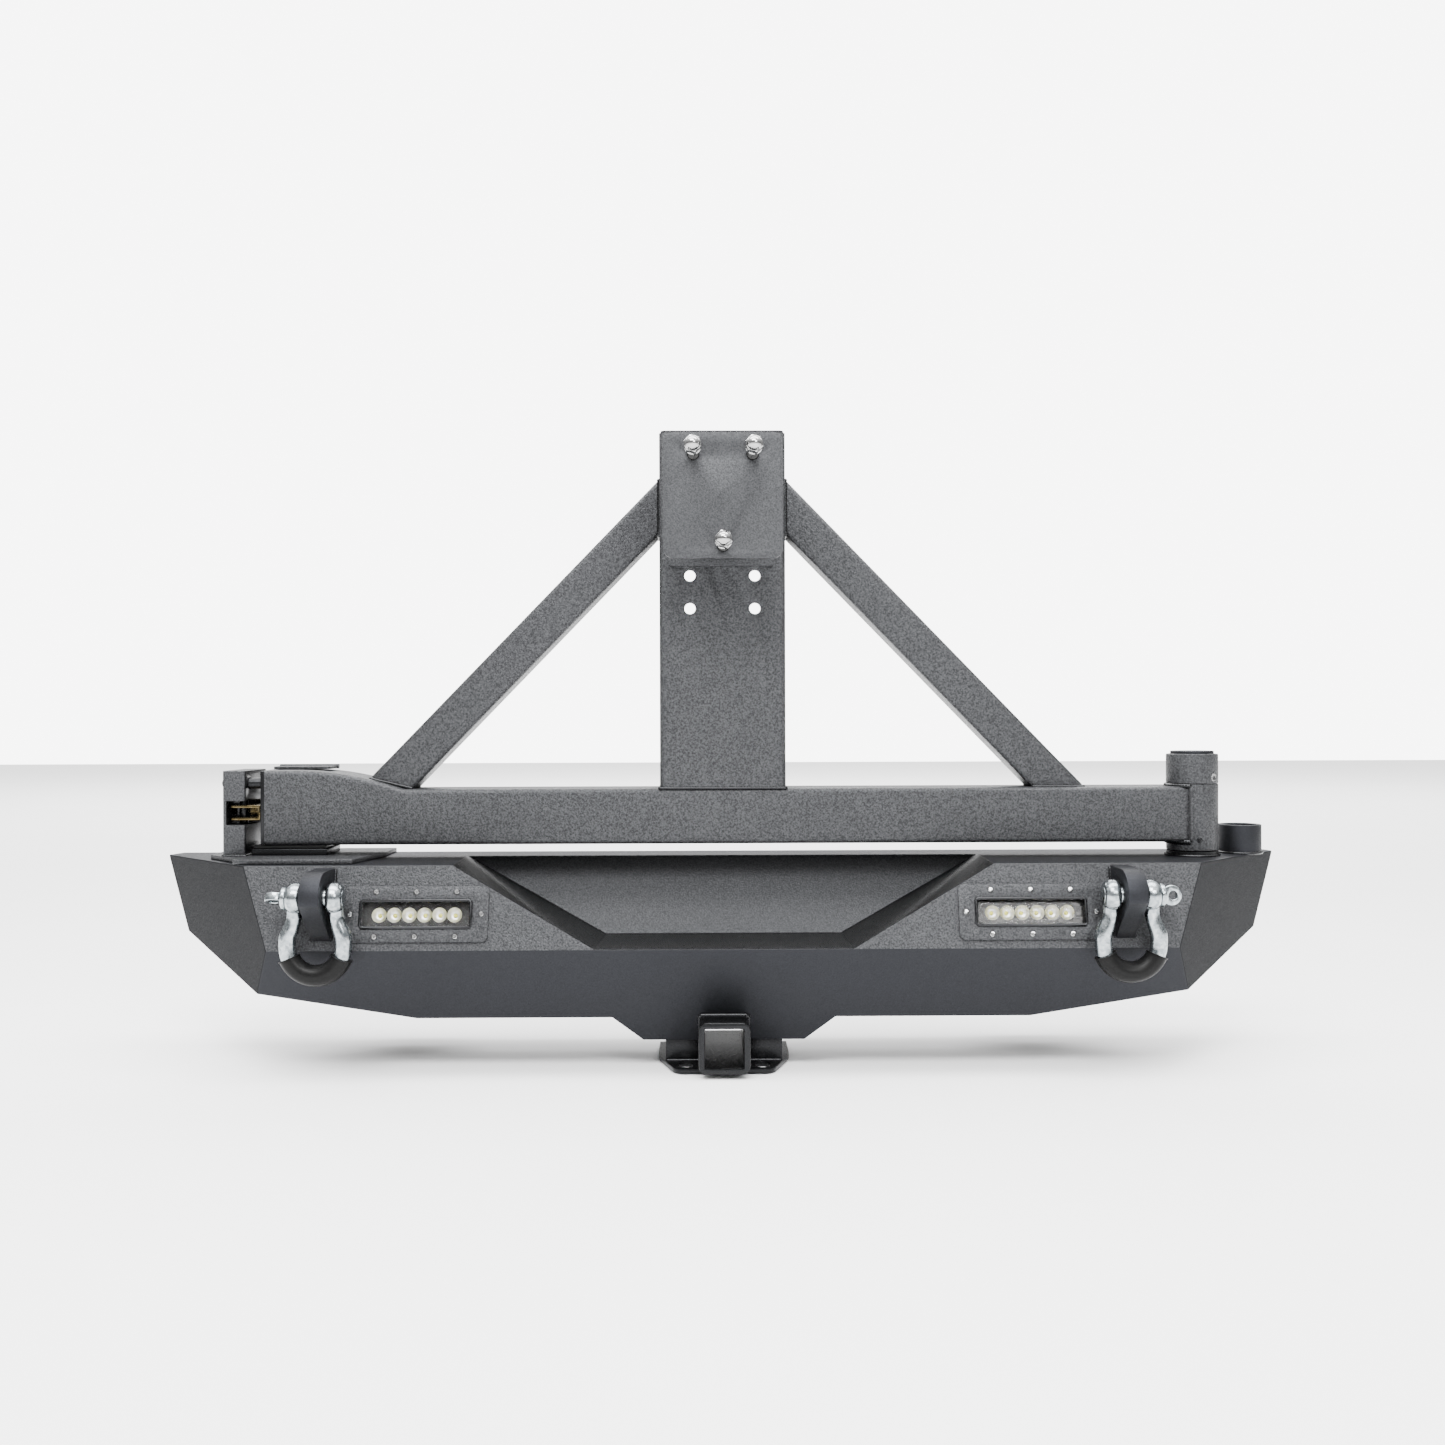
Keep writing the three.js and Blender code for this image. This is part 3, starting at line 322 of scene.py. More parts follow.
TINT = (0.95, 0.97, 1.02)
TEXTURED = coat_material("textured_coat", 0.003, 0.044, TINT, 2.3 * MM, 1.0, 0.38, 0.34)
FINE = coat_material("fine_coat", 0.003, 0.006, (0.85, 0.88, 1.0), 1.4 * MM, 0.35, 0.5, 0.26)
WING_COAT = coat_material("wing_coat", 0.003, 0.006, (0.93, 0.97, 1.1), 1.4 * MM, 0.4, 0.55, 0.08)
# The recess's back panel: the textured coat made darker, as painted shade for the hollow behind the face.
RECESS_SHADED_COAT = coat_material("recess_painted_shade_coat", 0.003, 0.018, TINT, 2.2 * MM, 0.8, 0.42, 0.3)
PLATE_COAT = coat_material("plate_coat", 0.016, 0.046, TINT, 1.7 * MM, 0.4, 0.45, 0.32)
SMOOTH = coat_material("smooth_coat", 0.002, 0.004, TINT, 1.6 * MM, 0.12, 0.3, 0.22)
WELD = coat_material("weld_coat", 0.002, 0.004, TINT, 1.5 * MM, 0.25, 0.22, 0.3)
INSIDE = coat_material("lamp_black", 0.002, 0.004, TINT, 0.8 * MM, 0.1, 0.4, 0.15)


def metal_material(name, tones, spot, roughness, relief=0.05, spangle=False):
    """Bare or plated metal, with its tone drifting between colours in patches of about spot metres."""
    material, tree, shader, place = new_material(name)
    patches = noise(tree, place, spot, 3.0, 0.6)
    if spangle:
        cells = tree.nodes.new("ShaderNodeTexVoronoi")
        cells.inputs["Scale"].default_value = 1 / (spot * 0.8)
        tree.links.new(place, cells.inputs["Vector"])
        patches = mix_colors(tree, 0.45, patches, cells.outputs["Color"])
    tree.links.new(ramp(tree, patches, tones), shader.inputs["Base Color"])
    shader.inputs["Metallic"].default_value = 1.0
    wear = noise(tree, place, spot * 0.5, 2.0)
    rough = ramp(tree, wear, [(0.3, roughness * 0.75), (0.7, roughness * 1.25)])
    tree.links.new(rough, shader.inputs["Roughness"])
    bump(tree, shader, noise(tree, place, spot * 0.4, 3.0), relief, 0.3 * MM)
    return material


ZINC_TONES = [(0.3, (0.2, 0.225, 0.24)), (0.55, (0.33, 0.36, 0.375)), (0.8, (0.5, 0.53, 0.54))]
# Yellow zinc dimmed far below its own tone: painted shade for the latch's dark window interior, and the same dim
# tone on the base bolts.
SHADED_YELLOW_TONES = [(0.3, (0.04, 0.028, 0.012)), (0.5, (0.08, 0.062, 0.03)), (0.75, (0.12, 0.1, 0.065))]
GALVANISED = metal_material("galvanised", ZINC_TONES, 5 * MM, 0.22, 0.12, spangle=True)
YELLOW = metal_material("yellow_zinc", SHADED_YELLOW_TONES, 7 * MM, 0.25)
CHROME = metal_material("chrome", [(0.2, 0.34), (0.8, 0.42)], 10 * MM, 0.07, 0.02)
STEEL = metal_material("plain_steel", [(0.3, 0.16), (0.7, 0.26)], 4 * MM, 0.3, 0.1)
# Nearly black steel: painted shade for the stud threads under the nuts and for the striker pin inside the latch's
# window.
SHADED_STEEL = metal_material("steel_painted_shade", [(0.3, 0.02), (0.7, 0.045)], 4 * MM, 0.3, 0.1)
REFLECTOR = metal_material("reflector", [(0.3, 0.55), (0.7, 0.7)], 4 * MM, 0.38, 0.05)
LAMP_PLATE = metal_material("lamp_plate", [(0.3, 0.025), (0.7, 0.05)], 4 * MM, 0.35, 0.05)


def rubber_material():
    material, tree, shader, place = new_material("isolator_rubber")
    fine = noise(tree, place, 1.2 * MM)
    tree.links.new(ramp(tree, fine, [(0.3, 0.003), (0.7, 0.007)]), shader.inputs["Base Color"])
    shader.inputs["Roughness"].default_value = 0.36
    shader.inputs["Specular IOR Level"].default_value = 0.1
    bump(tree, shader, noise(tree, place, 5 * MM), 0.08, 0.4 * MM)
    return material


def glass_material():
    material, tree, shader, place = new_material("clear_lens")
    shader.inputs["Base Color"].default_value = (1, 1, 1, 1)
    shader.inputs["Transmission Weight"].default_value = 1.0
    shader.inputs["IOR"].default_value = 1.1
    haze = noise(tree, place, 3 * MM)
    tree.links.new(ramp(tree, haze, [(0.3, 0.01), (0.8, 0.05)]), shader.inputs["Roughness"])
    return material


def chip_material():
    material, tree, shader, place = new_material("led_chip")
    grain = noise(tree, place, 1.5 * MM)
    color = ramp(tree, grain, [(0.3, (0.3, 0.29, 0.03)), (0.7, (0.38, 0.36, 0.05))])
    tree.links.new(color, shader.inputs["Base Color"])
    tree.links.new(color, shader.inputs["Emission Color"])
    shader.inputs["Emission Strength"].default_value = 0.1
    return material


RUBBER = rubber_material()
GLASS = glass_material()
CHIP = chip_material()


# Camera and light -----------------------------------------------------------------------------
# The camera fitted to the photograph's lower picture.
SENSOR_MM = 36
LENS_MM = 35.03
CAMERA_PLACE = (-17.4 * MM, -2027.8 * MM, 329.4 * MM)
CAMERA_TURN = (math.pi / 2, 0.003, -0.009)


def add_camera():
    data = bpy.data.cameras.new("camera")
    data.sensor_width = SENSOR_MM
    data.lens = LENS_MM
    camera = bpy.data.objects.new("camera", data)
    camera.location = CAMERA_PLACE
    camera.rotation_euler = CAMERA_TURN
    bpy.context.scene.collection.objects.link(camera)
    bpy.context.scene.camera = camera


def add_area(name, place, target, size, power):
    data = bpy.data.lights.new(name, "AREA")
    data.shape = "RECTANGLE"
    data.size, data.size_y = size
    data.energy = power
    light = bpy.data.objects.new(name, data)
    light.location = place
    light.rotation_euler = (Vector(target) - Vector(place)).to_track_quat("-Z", "Y").to_euler()
    bpy.context.scene.collection.objects.link(light)


# The sky lights the object; the camera sees a brighter, even backdrop in its place.
SKY_STRENGTH = 4.0
BACKDROP_STRENGTH = 7.5
SKY_TONES = [(0.0, 0.1), (0.3, 0.16), (0.7, 0.6), (1.0, 1.0)]
# Name, place, target, size and power of each soft light.
AREA_LIGHTS = (
    ("key", (-0.5, -2.5, 2.9), (0, 0, 0.2), (2.6, 1.2), 210),
    ("fill", (1.2, -3.0, 1.7), (0, 0, 0.1), (1.2, 0.8), 60),
    ("top", (0, -0.3, 3.0), (0, -0.1, 0), (4.0, 1.2), 180),
    ("back", (0, 6.0, 4.5), (0, 5.5, 0), (9.0, 4.0), 900),
)
FLOOR_REACH = 14


def add_studio():
    world = bpy.data.worlds.new("studio")
    world.use_nodes = True
    tree = world.node_tree
    background = tree.nodes["Background"]
    background.inputs["Color"].default_value = (1, 1, 1, 1)
    place = tree.nodes.new("ShaderNodeTexCoord").outputs["Generated"]
    split = tree.nodes.new("ShaderNodeSeparateXYZ")
    tree.links.new(place, split.inputs["Vector"])
    sky = ramp(tree, split.outputs["Z"], SKY_TONES)
    strength = tree.nodes.new("ShaderNodeMath")
    strength.operation = "MULTIPLY"
    strength.inputs[1].default_value = SKY_STRENGTH
    tree.links.new(sky, strength.inputs[0])
    to_camera = tree.nodes.new("ShaderNodeLightPath").outputs["Is Camera Ray"]
    seen = tree.nodes.new("ShaderNodeMix")
    tree.links.new(to_camera, seen.inputs[MIX_FACTOR])
    tree.links.new(strength.outputs["Value"], seen.inputs[MIX_NUMBER_A])
    seen.inputs[MIX_NUMBER_B].default_value = BACKDROP_STRENGTH
    tree.links.new(seen.outputs[MIX_NUMBER_OUT], background.inputs["Strength"])
    bpy.context.scene.world = world
    for light in AREA_LIGHTS:
        add_area(*light)
    bm = bmesh.new()
    bmesh.ops.create_grid(bm, x_segments=4, y_segments=4, size=FLOOR_REACH)
    mesh = bpy.data.meshes.new("floor")
    bm.to_mesh(mesh)
    bm.free()
    floor = bpy.data.objects.new("floor", mesh)
    floor.location = (0, 0, CAD_BOX[0][2] - 1 * MM)
    material, tree, shader, place = new_material("floor_paint")
    tone = ramp(tree, noise(tree, place, 0.6), [(0.3, 0.93), (0.7, 0.95)])
    tree.links.new(tone, shader.inputs["Base Color"])
    shader.inputs["Roughness"].default_value = 0.9
    mesh.materials.append(material)
    bpy.context.scene.collection.objects.link(floor)


# Shell ----------------------------------------------------------------------------------------
SHEET = 5 * MM
BEND_WIDTH = 3.2 * MM
BEND_DEGREES = 14
UPPER_NORMAL = face_normal("upper_face_right", OUT)
SLOPE_UP = Vector((0, UPPER_NORMAL.z, -UPPER_NORMAL.y))
LOWER_NORMAL = face_normal("lower_face", OUT)


def shell_corners(side, sign):
    """The named corners of one half of the shell's outer surface.

    A direction with a larger number puts that axis first where two corners would both do.
    """
    upper = f"upper_face_{side}"
    wing = f"wing_{side}"
    wing_normal = face_normal(wing, Vector((sign, -1, 0)))
    spots = {
        "recess_low": corner(upper, UPPER_NORMAL, (-sign, 0, -1)),
        "bend_fold": corner(upper, UPPER_NORMAL, (sign, 0, -1)),
        "bend_top": corner(upper, UPPER_NORMAL, (sign, 0, 1)),
        "recess_top": corner(upper, UPPER_NORMAL, (-sign, 0, 3)),
        "wing_tip": corner(wing, wing_normal, (sign, 0, 1)),
        "wing_low": corner(wing, wing_normal, (sign, 0, -1)),
        "bend_low": corner(wing, wing_normal, (0, 0, -1)),
        "edge_end": corner("lower_face", LOWER_NORMAL, (sign, 0, -7)),
        "drop_end": corner("lower_face", LOWER_NORMAL, (sign, 0, -20)),
        "top_back": corner("top_plate", UP, (sign, 5, 0)),
    }
    level = [p for p in points("lower_face")
             if abs(p.z - spots["edge_end"].z) < 1 * MM and p.x * sign > 0.05]
    spots["drop_start"] = min(level, key=lambda p: abs(p.x))
    notch = [p for p in points("top_plate") if p.y > spots["recess_top"].y + 0.05
             and abs(p.x) < abs(spots["recess_top"].x) + 0.05 and p.x * sign > 0.2
             and p.y < spots["top_back"].y - 0.02]
    spots["recess_back_top"] = max(notch, key=lambda p: p.z)
    deep = [p for p in points("recess_tub") if p.y > spots["recess_low"].y + 0.07
            and p.x * sign > 0.1 and p.z < spots["recess_low"].z + 0.03]
    spots["recess_back_low"] = max(deep, key=lambda p: p.z)
    return spots


def light_window(side):
    """The four corners of the lamp's cut-out in the face, a little wider than the housing."""
    own = points(f"light_housing_{side}")
    xs = [p.x for p in own]
    ups = [p.dot(SLOPE_UP) for p in own]
    margin = 0.3 * MM
    x0, x1 = min(xs) - margin, max(xs) + margin
    s0, s1 = min(ups) - margin, max(ups) + margin
    on_face = corner(f"upper_face_{side}", UPPER_NORMAL, (0, 0, -1))
    offset = on_face.dot(UPPER_NORMAL)

    def spot(x, s):
        return Vector((x, 0, 0)) + SLOPE_UP * s + UPPER_NORMAL * offset

    return [spot(x0, s0), spot(x1, s0), spot(x1, s1), spot(x0, s1)]


def build_shell():
    """One folded sheet: both face bands, both wings, the top and the recess, bent at shared edges."""
    bm = bmesh.new()
    made = {}

    def vert(p):
        key = tuple(round(c, 4) for c in p)
        if key not in made:
            made[key] = bm.verts.new(p)
        return made[key]

    def face(slot, *corners):
        bm.faces.new([vert(p) for p in corners]).material_index = slot

    # The recess's sloped sides and floor (slot dark) take the darkest smooth coat. Their smooth finish is their
    # own, and their darkness is painted shade inside the recess.
    rough, fine, dark, wing, recess = range(5)
    spots = {side: shell_corners(side, sign) for side, sign in SIDES.items()}
    for side, sign in SIDES.items():
        s = spots[side]
        hole = light_window(side)
        if sign > 0:
            outer = [s["recess_low"], s["bend_fold"], s["bend_top"], s["recess_top"]]
        else:
            outer = [s["bend_fold"], s["recess_low"], s["recess_top"], s["bend_top"]]
        for k in range(4):
            n = (k + 1) % 4
            face(rough, outer[k], outer[n], hole[n], hole[k])
        face(wing, s["bend_top"], s["bend_fold"], s["bend_low"], s["wing_low"], s["wing_tip"])
        back = Vector((s["recess_back_top"].x, s["top_back"].y, s["top_back"].z))
        face(fine, s["recess_top"], s["bend_top"], s["wing_tip"], s["top_back"], back, s["recess_back_top"])
        face(dark, s["recess_low"], s["recess_top"], s["recess_back_top"], s["recess_back_low"])
    a, b = spots["left"], spots["right"]
    back_left = Vector((a["recess_back_top"].x, a["top_back"].y, a["top_back"].z))
    back_right = Vector((b["recess_back_top"].x, b["top_back"].y, b["top_back"].z))
    face(fine, a["recess_back_top"], b["recess_back_top"], back_right, back_left)
    face(dark, a["recess_low"], b["recess_low"], b["recess_back_low"], a["recess_back_low"])
    face(recess, a["recess_back_low"], b["recess_back_low"], b["recess_back_top"], a["recess_back_top"])
    # The lower band, notched around the receiver.
    half = high("receiver_tube").x + 0.4 * MM
    notch_top = high("receiver_tube").z + 0.4 * MM

    def on_lower(x, z):
        edge = b["drop_end"]
        y = edge.y - (z - edge.z) * LOWER_NORMAL.z / LOWER_NORMAL.y
        return Vector((x, y, z))

    face(fine, a["bend_fold"], a["bend_low"], a["edge_end"], a["drop_start"], a["drop_end"],
         on_lower(-half, a["drop_end"].z), on_lower(-half, notch_top), on_lower(half, notch_top),
         on_lower(half, b["drop_end"].z), b["drop_end"], b["drop_start"], b["edge_end"], b["bend_low"],
         b["bend_fold"], b["recess_low"], a["recess_low"])
    bmesh.ops.recalc_face_normals(bm, faces=bm.faces)
    front = max(bm.faces, key=lambda f: f.calc_area())
    if front.normal.y > 0:
        bmesh.ops.reverse_faces(bm, faces=bm.faces)
    coats = [TEXTURED, FINE, SMOOTH, WING_COAT, RECESS_SHADED_COAT]
    shell = finish_mesh("folded_shell", bm, coats, "bumper", recalc=False)
    solidify = shell.modifiers.new("sheet", "SOLIDIFY")
    solidify.thickness = SHEET
    solidify.offset = -1
    solidify.use_even_offset = True
    soften = shell.modifiers.new("bends", "BEVEL")
    soften.width = BEND_WIDTH
    soften.segments = 4
    soften.limit_method = "ANGLE"
    soften.angle_limit = math.radians(BEND_DEGREES)
    soften.harden_normals = True
    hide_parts("lower_face", "recess_tub", "top_plate", "upper_face_left", "upper_face_right",
                "wing_left", "wing_right")
    return spots


# Swing arm ------------------------------------------------------------------------------------
ARM_HEIGHT = 75 * MM
ARM_EDGE = 7 * MM
# Where along X the arm's top starts to rise and stops, with the curve's two pulls between them.
LATCH_RISE = (-430 * MM, -480 * MM, -520 * MM, -575 * MM)
SET_SCREW_WAY = Vector((0.583, -0.812, 0))
NIPPLE_WAY = Vector((-0.05, -1, 0)).normalized()
PIVOT = middle("pivot_sleeve")
SLEEVE_RADIUS = (high("pivot_sleeve").x - low("pivot_sleeve").x) / 2
# The bore of sleeve and collar, as a share of their radius.
BORE_SHARE = 0.84
# How far short of the pivot's middle the tube ends, as a share of the sleeve's radius.
ARM_END_SHARE = 0.35


def bezier(a, b, c, d, steps):
    found = []
    for i in range(steps + 1):
        t = i / steps
        k = 1 - t
        found.append(a * k ** 3 + b * 3 * k * k * t + c * 3 * k * t * t + d * t ** 3)
    return found


def build_arm():
    """The main tube: its latch end is taller, with a soft curve down to the rest of the arm."""
    a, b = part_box("arm_tube")
    top = a.z + ARM_HEIGHT
    right = PIVOT.x - ARM_END_SHARE * SLEEVE_RADIUS
    rise = b.z - top
    start, start_pull, end_pull, end = LATCH_RISE
    curve = bezier(Vector((start, 0, top)), Vector((start_pull, 0, top + 0.62 * rise)),
                   Vector((end_pull, 0, b.z)), Vector((end, 0, b.z)), 14)
    outline = [(a.x, a.z), (right, a.z), (right, top)] + [(p.x, p.z) for p in curve] + [(a.x, b.z)]
    bm = bmesh.new()
    prism(bm, [Vector((x, a.y, z)) for x, z in outline], Vector((0, b.y - a.y, 0)))
    rims = [e for e in sharp_edges(bm, 60) if abs(e.verts[0].co.y - e.verts[1].co.y) < 1 * MM
            and max(v.co.x for v in e.verts) > a.x + 1 * MM]
    bevel_edges(bm, rims, ARM_EDGE, 5)
    arm = finish_mesh("swing_arm_tube", bm, TEXTURED, "swing_arm")
    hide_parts("arm_tube")


def build_pivot():
    """Sleeve, collar and grease cap as turned parts, with a set screw and a grease nipple."""
    for node, edge, material in (("pivot_sleeve", 1.5 * MM, TEXTURED), ("collar_cap", 2 * MM, TEXTURED),
                                 ("grease_cap", 1.5 * MM, FINE)):
        a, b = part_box(node)
        radius = (b.x - a.x) / 2
        inner = 0.0 if node == "grease_cap" else radius * BORE_SHARE
        bm = bmesh.new()
        outline = [(inner, a.z), (radius, a.z), (radius, b.z), (inner, b.z)]
        closed = rounded(outline, edge)
        if inner:
            closed.append(closed[0])
        lathe(bm, closed, (PIVOT.x, PIVOT.y, 0), UP, 96)
        bmesh.ops.remove_doubles(bm, verts=bm.verts, dist=0.01 * MM)
        piece = finish_mesh(node + "_skin", bm, material, "swing_arm")
        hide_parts(node)
    spot = Vector((PIVOT.x, PIVOT.y, low("collar_cap").z + 9 * MM))
    spot += SET_SCREW_WAY * (SLEEVE_RADIUS - 1.2 * MM)
    bm = bmesh.new()
    screw = scaled([(0, -1), (2.4, -1), (2.4, 1.6), (4.6, 2), (5.4, 1.4), (5.4, -2)])
    lathe(bm, screw, spot, SET_SCREW_WAY, 24)
    finish_mesh("collar_set_screw", bm, STEEL, "swing_arm")
    bm = bmesh.new()
    spot = Vector((PIVOT.x, PIVOT.y, low("pivot_sleeve").z + 15 * MM))
    spot += NIPPLE_WAY * (SLEEVE_RADIUS - 1 * MM)
    nipple = scaled([(0, 4), (1.6, 4), (2.4, 2.6), (2.2, 1.6), (4, 1.2), (4, -2)])
    lathe(bm, nipple, spot, NIPPLE_WAY, 20)
    finish_mesh("grease_nipple", bm, SMOOTH, "swing_arm")


# Welds ----------------------------------------------------------------------------------------
WELD_STEP = 1.3 * MM
# The half of the sleeve that faces the arm, in degrees about the pivot.
SLEEVE_WELD_ARC = (110, 250)


def weld(name, body, corners, radius=2.6 * MM, material=None):
    """A rippled bead along a line of points."""
    corners = [Vector(c) for c in corners]
    path = []
    for a, b in zip(corners, corners[1:]):
        count = max(2, round((b - a).length / WELD_STEP))
        path += [a.lerp(b, i / count) for i in range(count)]
    path.append(corners[-1])
    radii = [radius * (0.9 + 0.14 * abs(math.sin(i * 1.05))) for i in range(len(path))]
    radii[0] *= 0.5
    radii[-1] *= 0.5
    bm = bmesh.new()
    sweep(bm, path, radii, 8)
    bead = finish_mesh(name, bm, material or WELD, body, 60)


def circle(center, radius, start=0.0, end=360.0, steps=48):
    found = []
    for i in range(steps + 1):
        turn = math.radians(start + (end - start) * i / steps)
        found.append(Vector(center) + Vector((math.cos(turn), math.sin(turn), 0)) * radius)
    return found


def rectangle(x0, x1, z0, z1, y):
    return [(x0, y, z0), (x1, y, z0), (x1, y, z1), (x0, y, z1), (x0, y, z0)]


MOUTH_HALF = 29.2 * MM
MOUTH_WIRE = 4.1 * MM
FLANGE_REACH = 77 * MM


def add_receiver_trim(tube_side):
    """The rounded frame around the receiver's mouth, and the flanges between chain plate and shell."""
    half = MOUTH_HALF
    middle_z = middle("receiver_tube").z
    front = low("receiver_tube").y + 5 * MM
    bm = bmesh.new()
    square = [(0, -half), (half, -half), (half, half), (-half, half), (-half, -half), (0, -half)]
    corners = rounded(square, 8 * MM, 5)[:-1]
    path = [Vector((x, front, middle_z + z)) for x, z in corners]
    sweep(bm, path, [MOUTH_WIRE] * len(path), 12, closed=True)
    finish_mesh("receiver_mouth_frame", bm, SMOOTH, "bumper", 50)
    foot = high("chain_plate").z
    edge = SPOTS["right"]["drop_end"]
    head = edge.z + 4 * MM
    inner = tube_side + 0.5 * MM
    outer = FLANGE_REACH
    for side, sign in SIDES.items():
        bm = bmesh.new()
        outline = [(inner, foot), (outer, foot), (outer, head), (inner, head)]
        y = edge.y + SHEET + 2 * MM
        prism(bm, [Vector((sign * x, y, z)) for x, z in outline], Vector((0, 6 * MM, 0)))
        bmesh.ops.recalc_face_normals(bm, faces=bm.faces)
        bevel_edges(bm, sharp_edges(bm, 50), 1 * MM, 2)
        finish_mesh(f"chain_flange_{side}", bm, SMOOTH, "bumper")
        weld(f"weld_flange_{side}", "bumper", [(sign * inner, y, foot), (sign * outer, y, foot)])


def build_welds():
    a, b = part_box("post_channel")
    foot = a.z - 0.2 * MM
    front = a.y + 1 * MM
    weld("weld_upright_foot", "swing_arm",
         [(a.x, b.y, foot), (a.x, front, foot), (b.x, front, foot), (b.x, b.y, foot)], 2.4 * MM)
    for side, sign in SIDES.items():
        c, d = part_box(f"brace_{side}")
        wall = sign * (b.x + 0.5 * MM)
        own = points(f"brace_{side}")
        at_wall = [p.z for p in own if abs(p.x - sign * b.x) < 1.5 * MM]
        head_low, head_high = min(at_wall), max(at_wall)
        for spot, y in (("front", c.y), ("back", d.y)):
            weld(f"weld_brace_head_{spot}_{side}", "swing_arm",
                 [(wall, y, head_low), (wall, y, head_high)], 2.8 * MM)
        weld(f"weld_brace_head_under_{side}", "swing_arm",
             [(wall, c.y, head_low), (wall, d.y, head_low)], 4 * MM)
        low_spots = [p for p in own if p.z < c.z + 14 * MM]
        feet = sorted(low_spots, key=lambda p: p.x)
        inner, outer = feet[0], feet[-1]
        for spot, y in (("front", c.y), ("back", d.y)):
            weld(f"weld_brace_foot_{spot}_{side}", "swing_arm",
                 [(inner.x, y, inner.z), (outer.x, y, outer.z)], 2.4 * MM)
    arm_low, arm_top = low("arm_tube").z, low("arm_tube").z + ARM_HEIGHT
    seam_x = PIVOT.x - 0.36 * SLEEVE_RADIUS
    for spot, y in (("front", PIVOT.y - SLEEVE_RADIUS * 0.99), ("back", PIVOT.y + SLEEVE_RADIUS * 0.99)):
        weld(f"weld_sleeve_{spot}", "swing_arm",
             [(seam_x, y, arm_low + 2 * MM), (seam_x, y, arm_top - 1 * MM)], 2.6 * MM, TEXTURED)
    for spot, z, radius in (("top", arm_top + 0.5 * MM, 3.4 * MM), ("under", arm_low, 4 * MM)):
        arc = circle((PIVOT.x, PIVOT.y, z), SLEEVE_RADIUS, *SLEEVE_WELD_ARC, 24)
        weld(f"weld_sleeve_{spot}", "swing_arm", arc, radius)
    foot = Vector((PIVOT.x, PIVOT.y, low("spindle").z + 0.5 * MM))
    weld("weld_spindle", "bumper", circle(foot, SLEEVE_RADIUS + 0.5 * MM), 2.4 * MM)
    a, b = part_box("stop_socket")
    foot = Vector(((a.x + b.x) / 2, (a.y + b.y) / 2, a.z + 0.5 * MM))
    weld("weld_socket", "bumper", circle(foot, (b.x - a.x) / 2), 2.2 * MM)
    a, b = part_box("latch_post")
    weld("weld_latch_post", "bumper", [(a.x, a.y, a.z), (b.x, a.y, a.z), (b.x, b.y, a.z), (a.x, b.y, a.z),
                                       (a.x, a.y, a.z)], 2.2 * MM)
    a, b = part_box("standoff_tube")
    weld("weld_standoff_back", "swing_arm", rectangle(a.x, b.x, a.z, b.z, b.y), 3 * MM)
    weld("weld_standoff_front", "swing_arm", rectangle(a.x, b.x, a.z, b.z, a.y), 3 * MM)
    a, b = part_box("receiver_tube")
    lower = SPOTS["right"]["drop_end"]

    def face_y(z):
        return lower.y - (z - lower.z) * LOWER_NORMAL.z / LOWER_NORMAL.y

    for side, sign in SIDES.items():
        x = sign * b.x
        weld(f"weld_receiver_{side}", "bumper", [(x, face_y(lower.z) - 0.5 * MM, lower.z),
                                                 (x, face_y(b.z) - 0.5 * MM, b.z)], 2.8 * MM)
        weld(f"weld_chain_{side}", "bumper", [(x, low("chain_plate").y + 8 * MM, a.z + 1 * MM),
                                              (x, high("chain_plate").y - 6 * MM, a.z + 1 * MM)], 2.6 * MM)
        c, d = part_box(f"shackle_tab_{side}")
        for edge, tab_x in (("inner", c.x if sign > 0 else d.x), ("outer", d.x if sign > 0 else c.x)):
            rise = Vector((0, -UPPER_NORMAL.z / UPPER_NORMAL.y, 1))
            base = SPOTS["right"]["bend_fold"]
            bottom = Vector((tab_x, base.y, base.z)) + rise * (c.z - base.z)
            top = Vector((tab_x, base.y, base.z)) + rise * (d.z - base.z - 2 * MM)
            weld(f"weld_tab_{edge}_{side}", "bumper", [bottom, top], 2.6 * MM)
    add_receiver_trim(b.x)
    y = face_y(b.z) - 1 * MM
    weld("weld_receiver_top", "bumper", [(-b.x, y, b.z), (b.x, y, b.z)], 4 * MM)


# Wheel mount ----------------------------------------------------------------------------------
HOLE_X = 43.7 * MM
BOLT_ROWS = (31.4 * MM, 119.6 * MM)
BOLT_FLATS = 19 * MM
STUD_RADIUS = 7 * MM
THREAD_PITCH = 1.5 * MM


def hexagon(center, axis, flats, turn=0.0):
    axis = Vector(axis).normalized()
    u = axis.orthogonal().normalized()
    v = axis.cross(u)
    radius = flats / math.sqrt(3)
    spots = [math.radians(60 * k + turn) for k in range(6)]
    return [Vector(center) + u * (radius * math.cos(t)) + v * (radius * math.sin(t)) for t in spots]


def hex_body(bm, center, axis, flats, height, turn=0.0, edge=0.8 * MM):
    part = bmesh.new()
    prism(part, hexagon(center, axis, flats, turn), Vector(axis).normalized() * height)
    bmesh.ops.recalc_face_normals(part, faces=part.faces)
    bevel_edges(part, sharp_edges(part, 50), edge, 2)
    mesh = bpy.data.meshes.new("part")
    part.to_mesh(mesh)
    part.free()
    bm.from_mesh(mesh)
    bpy.data.meshes.remove(mesh)


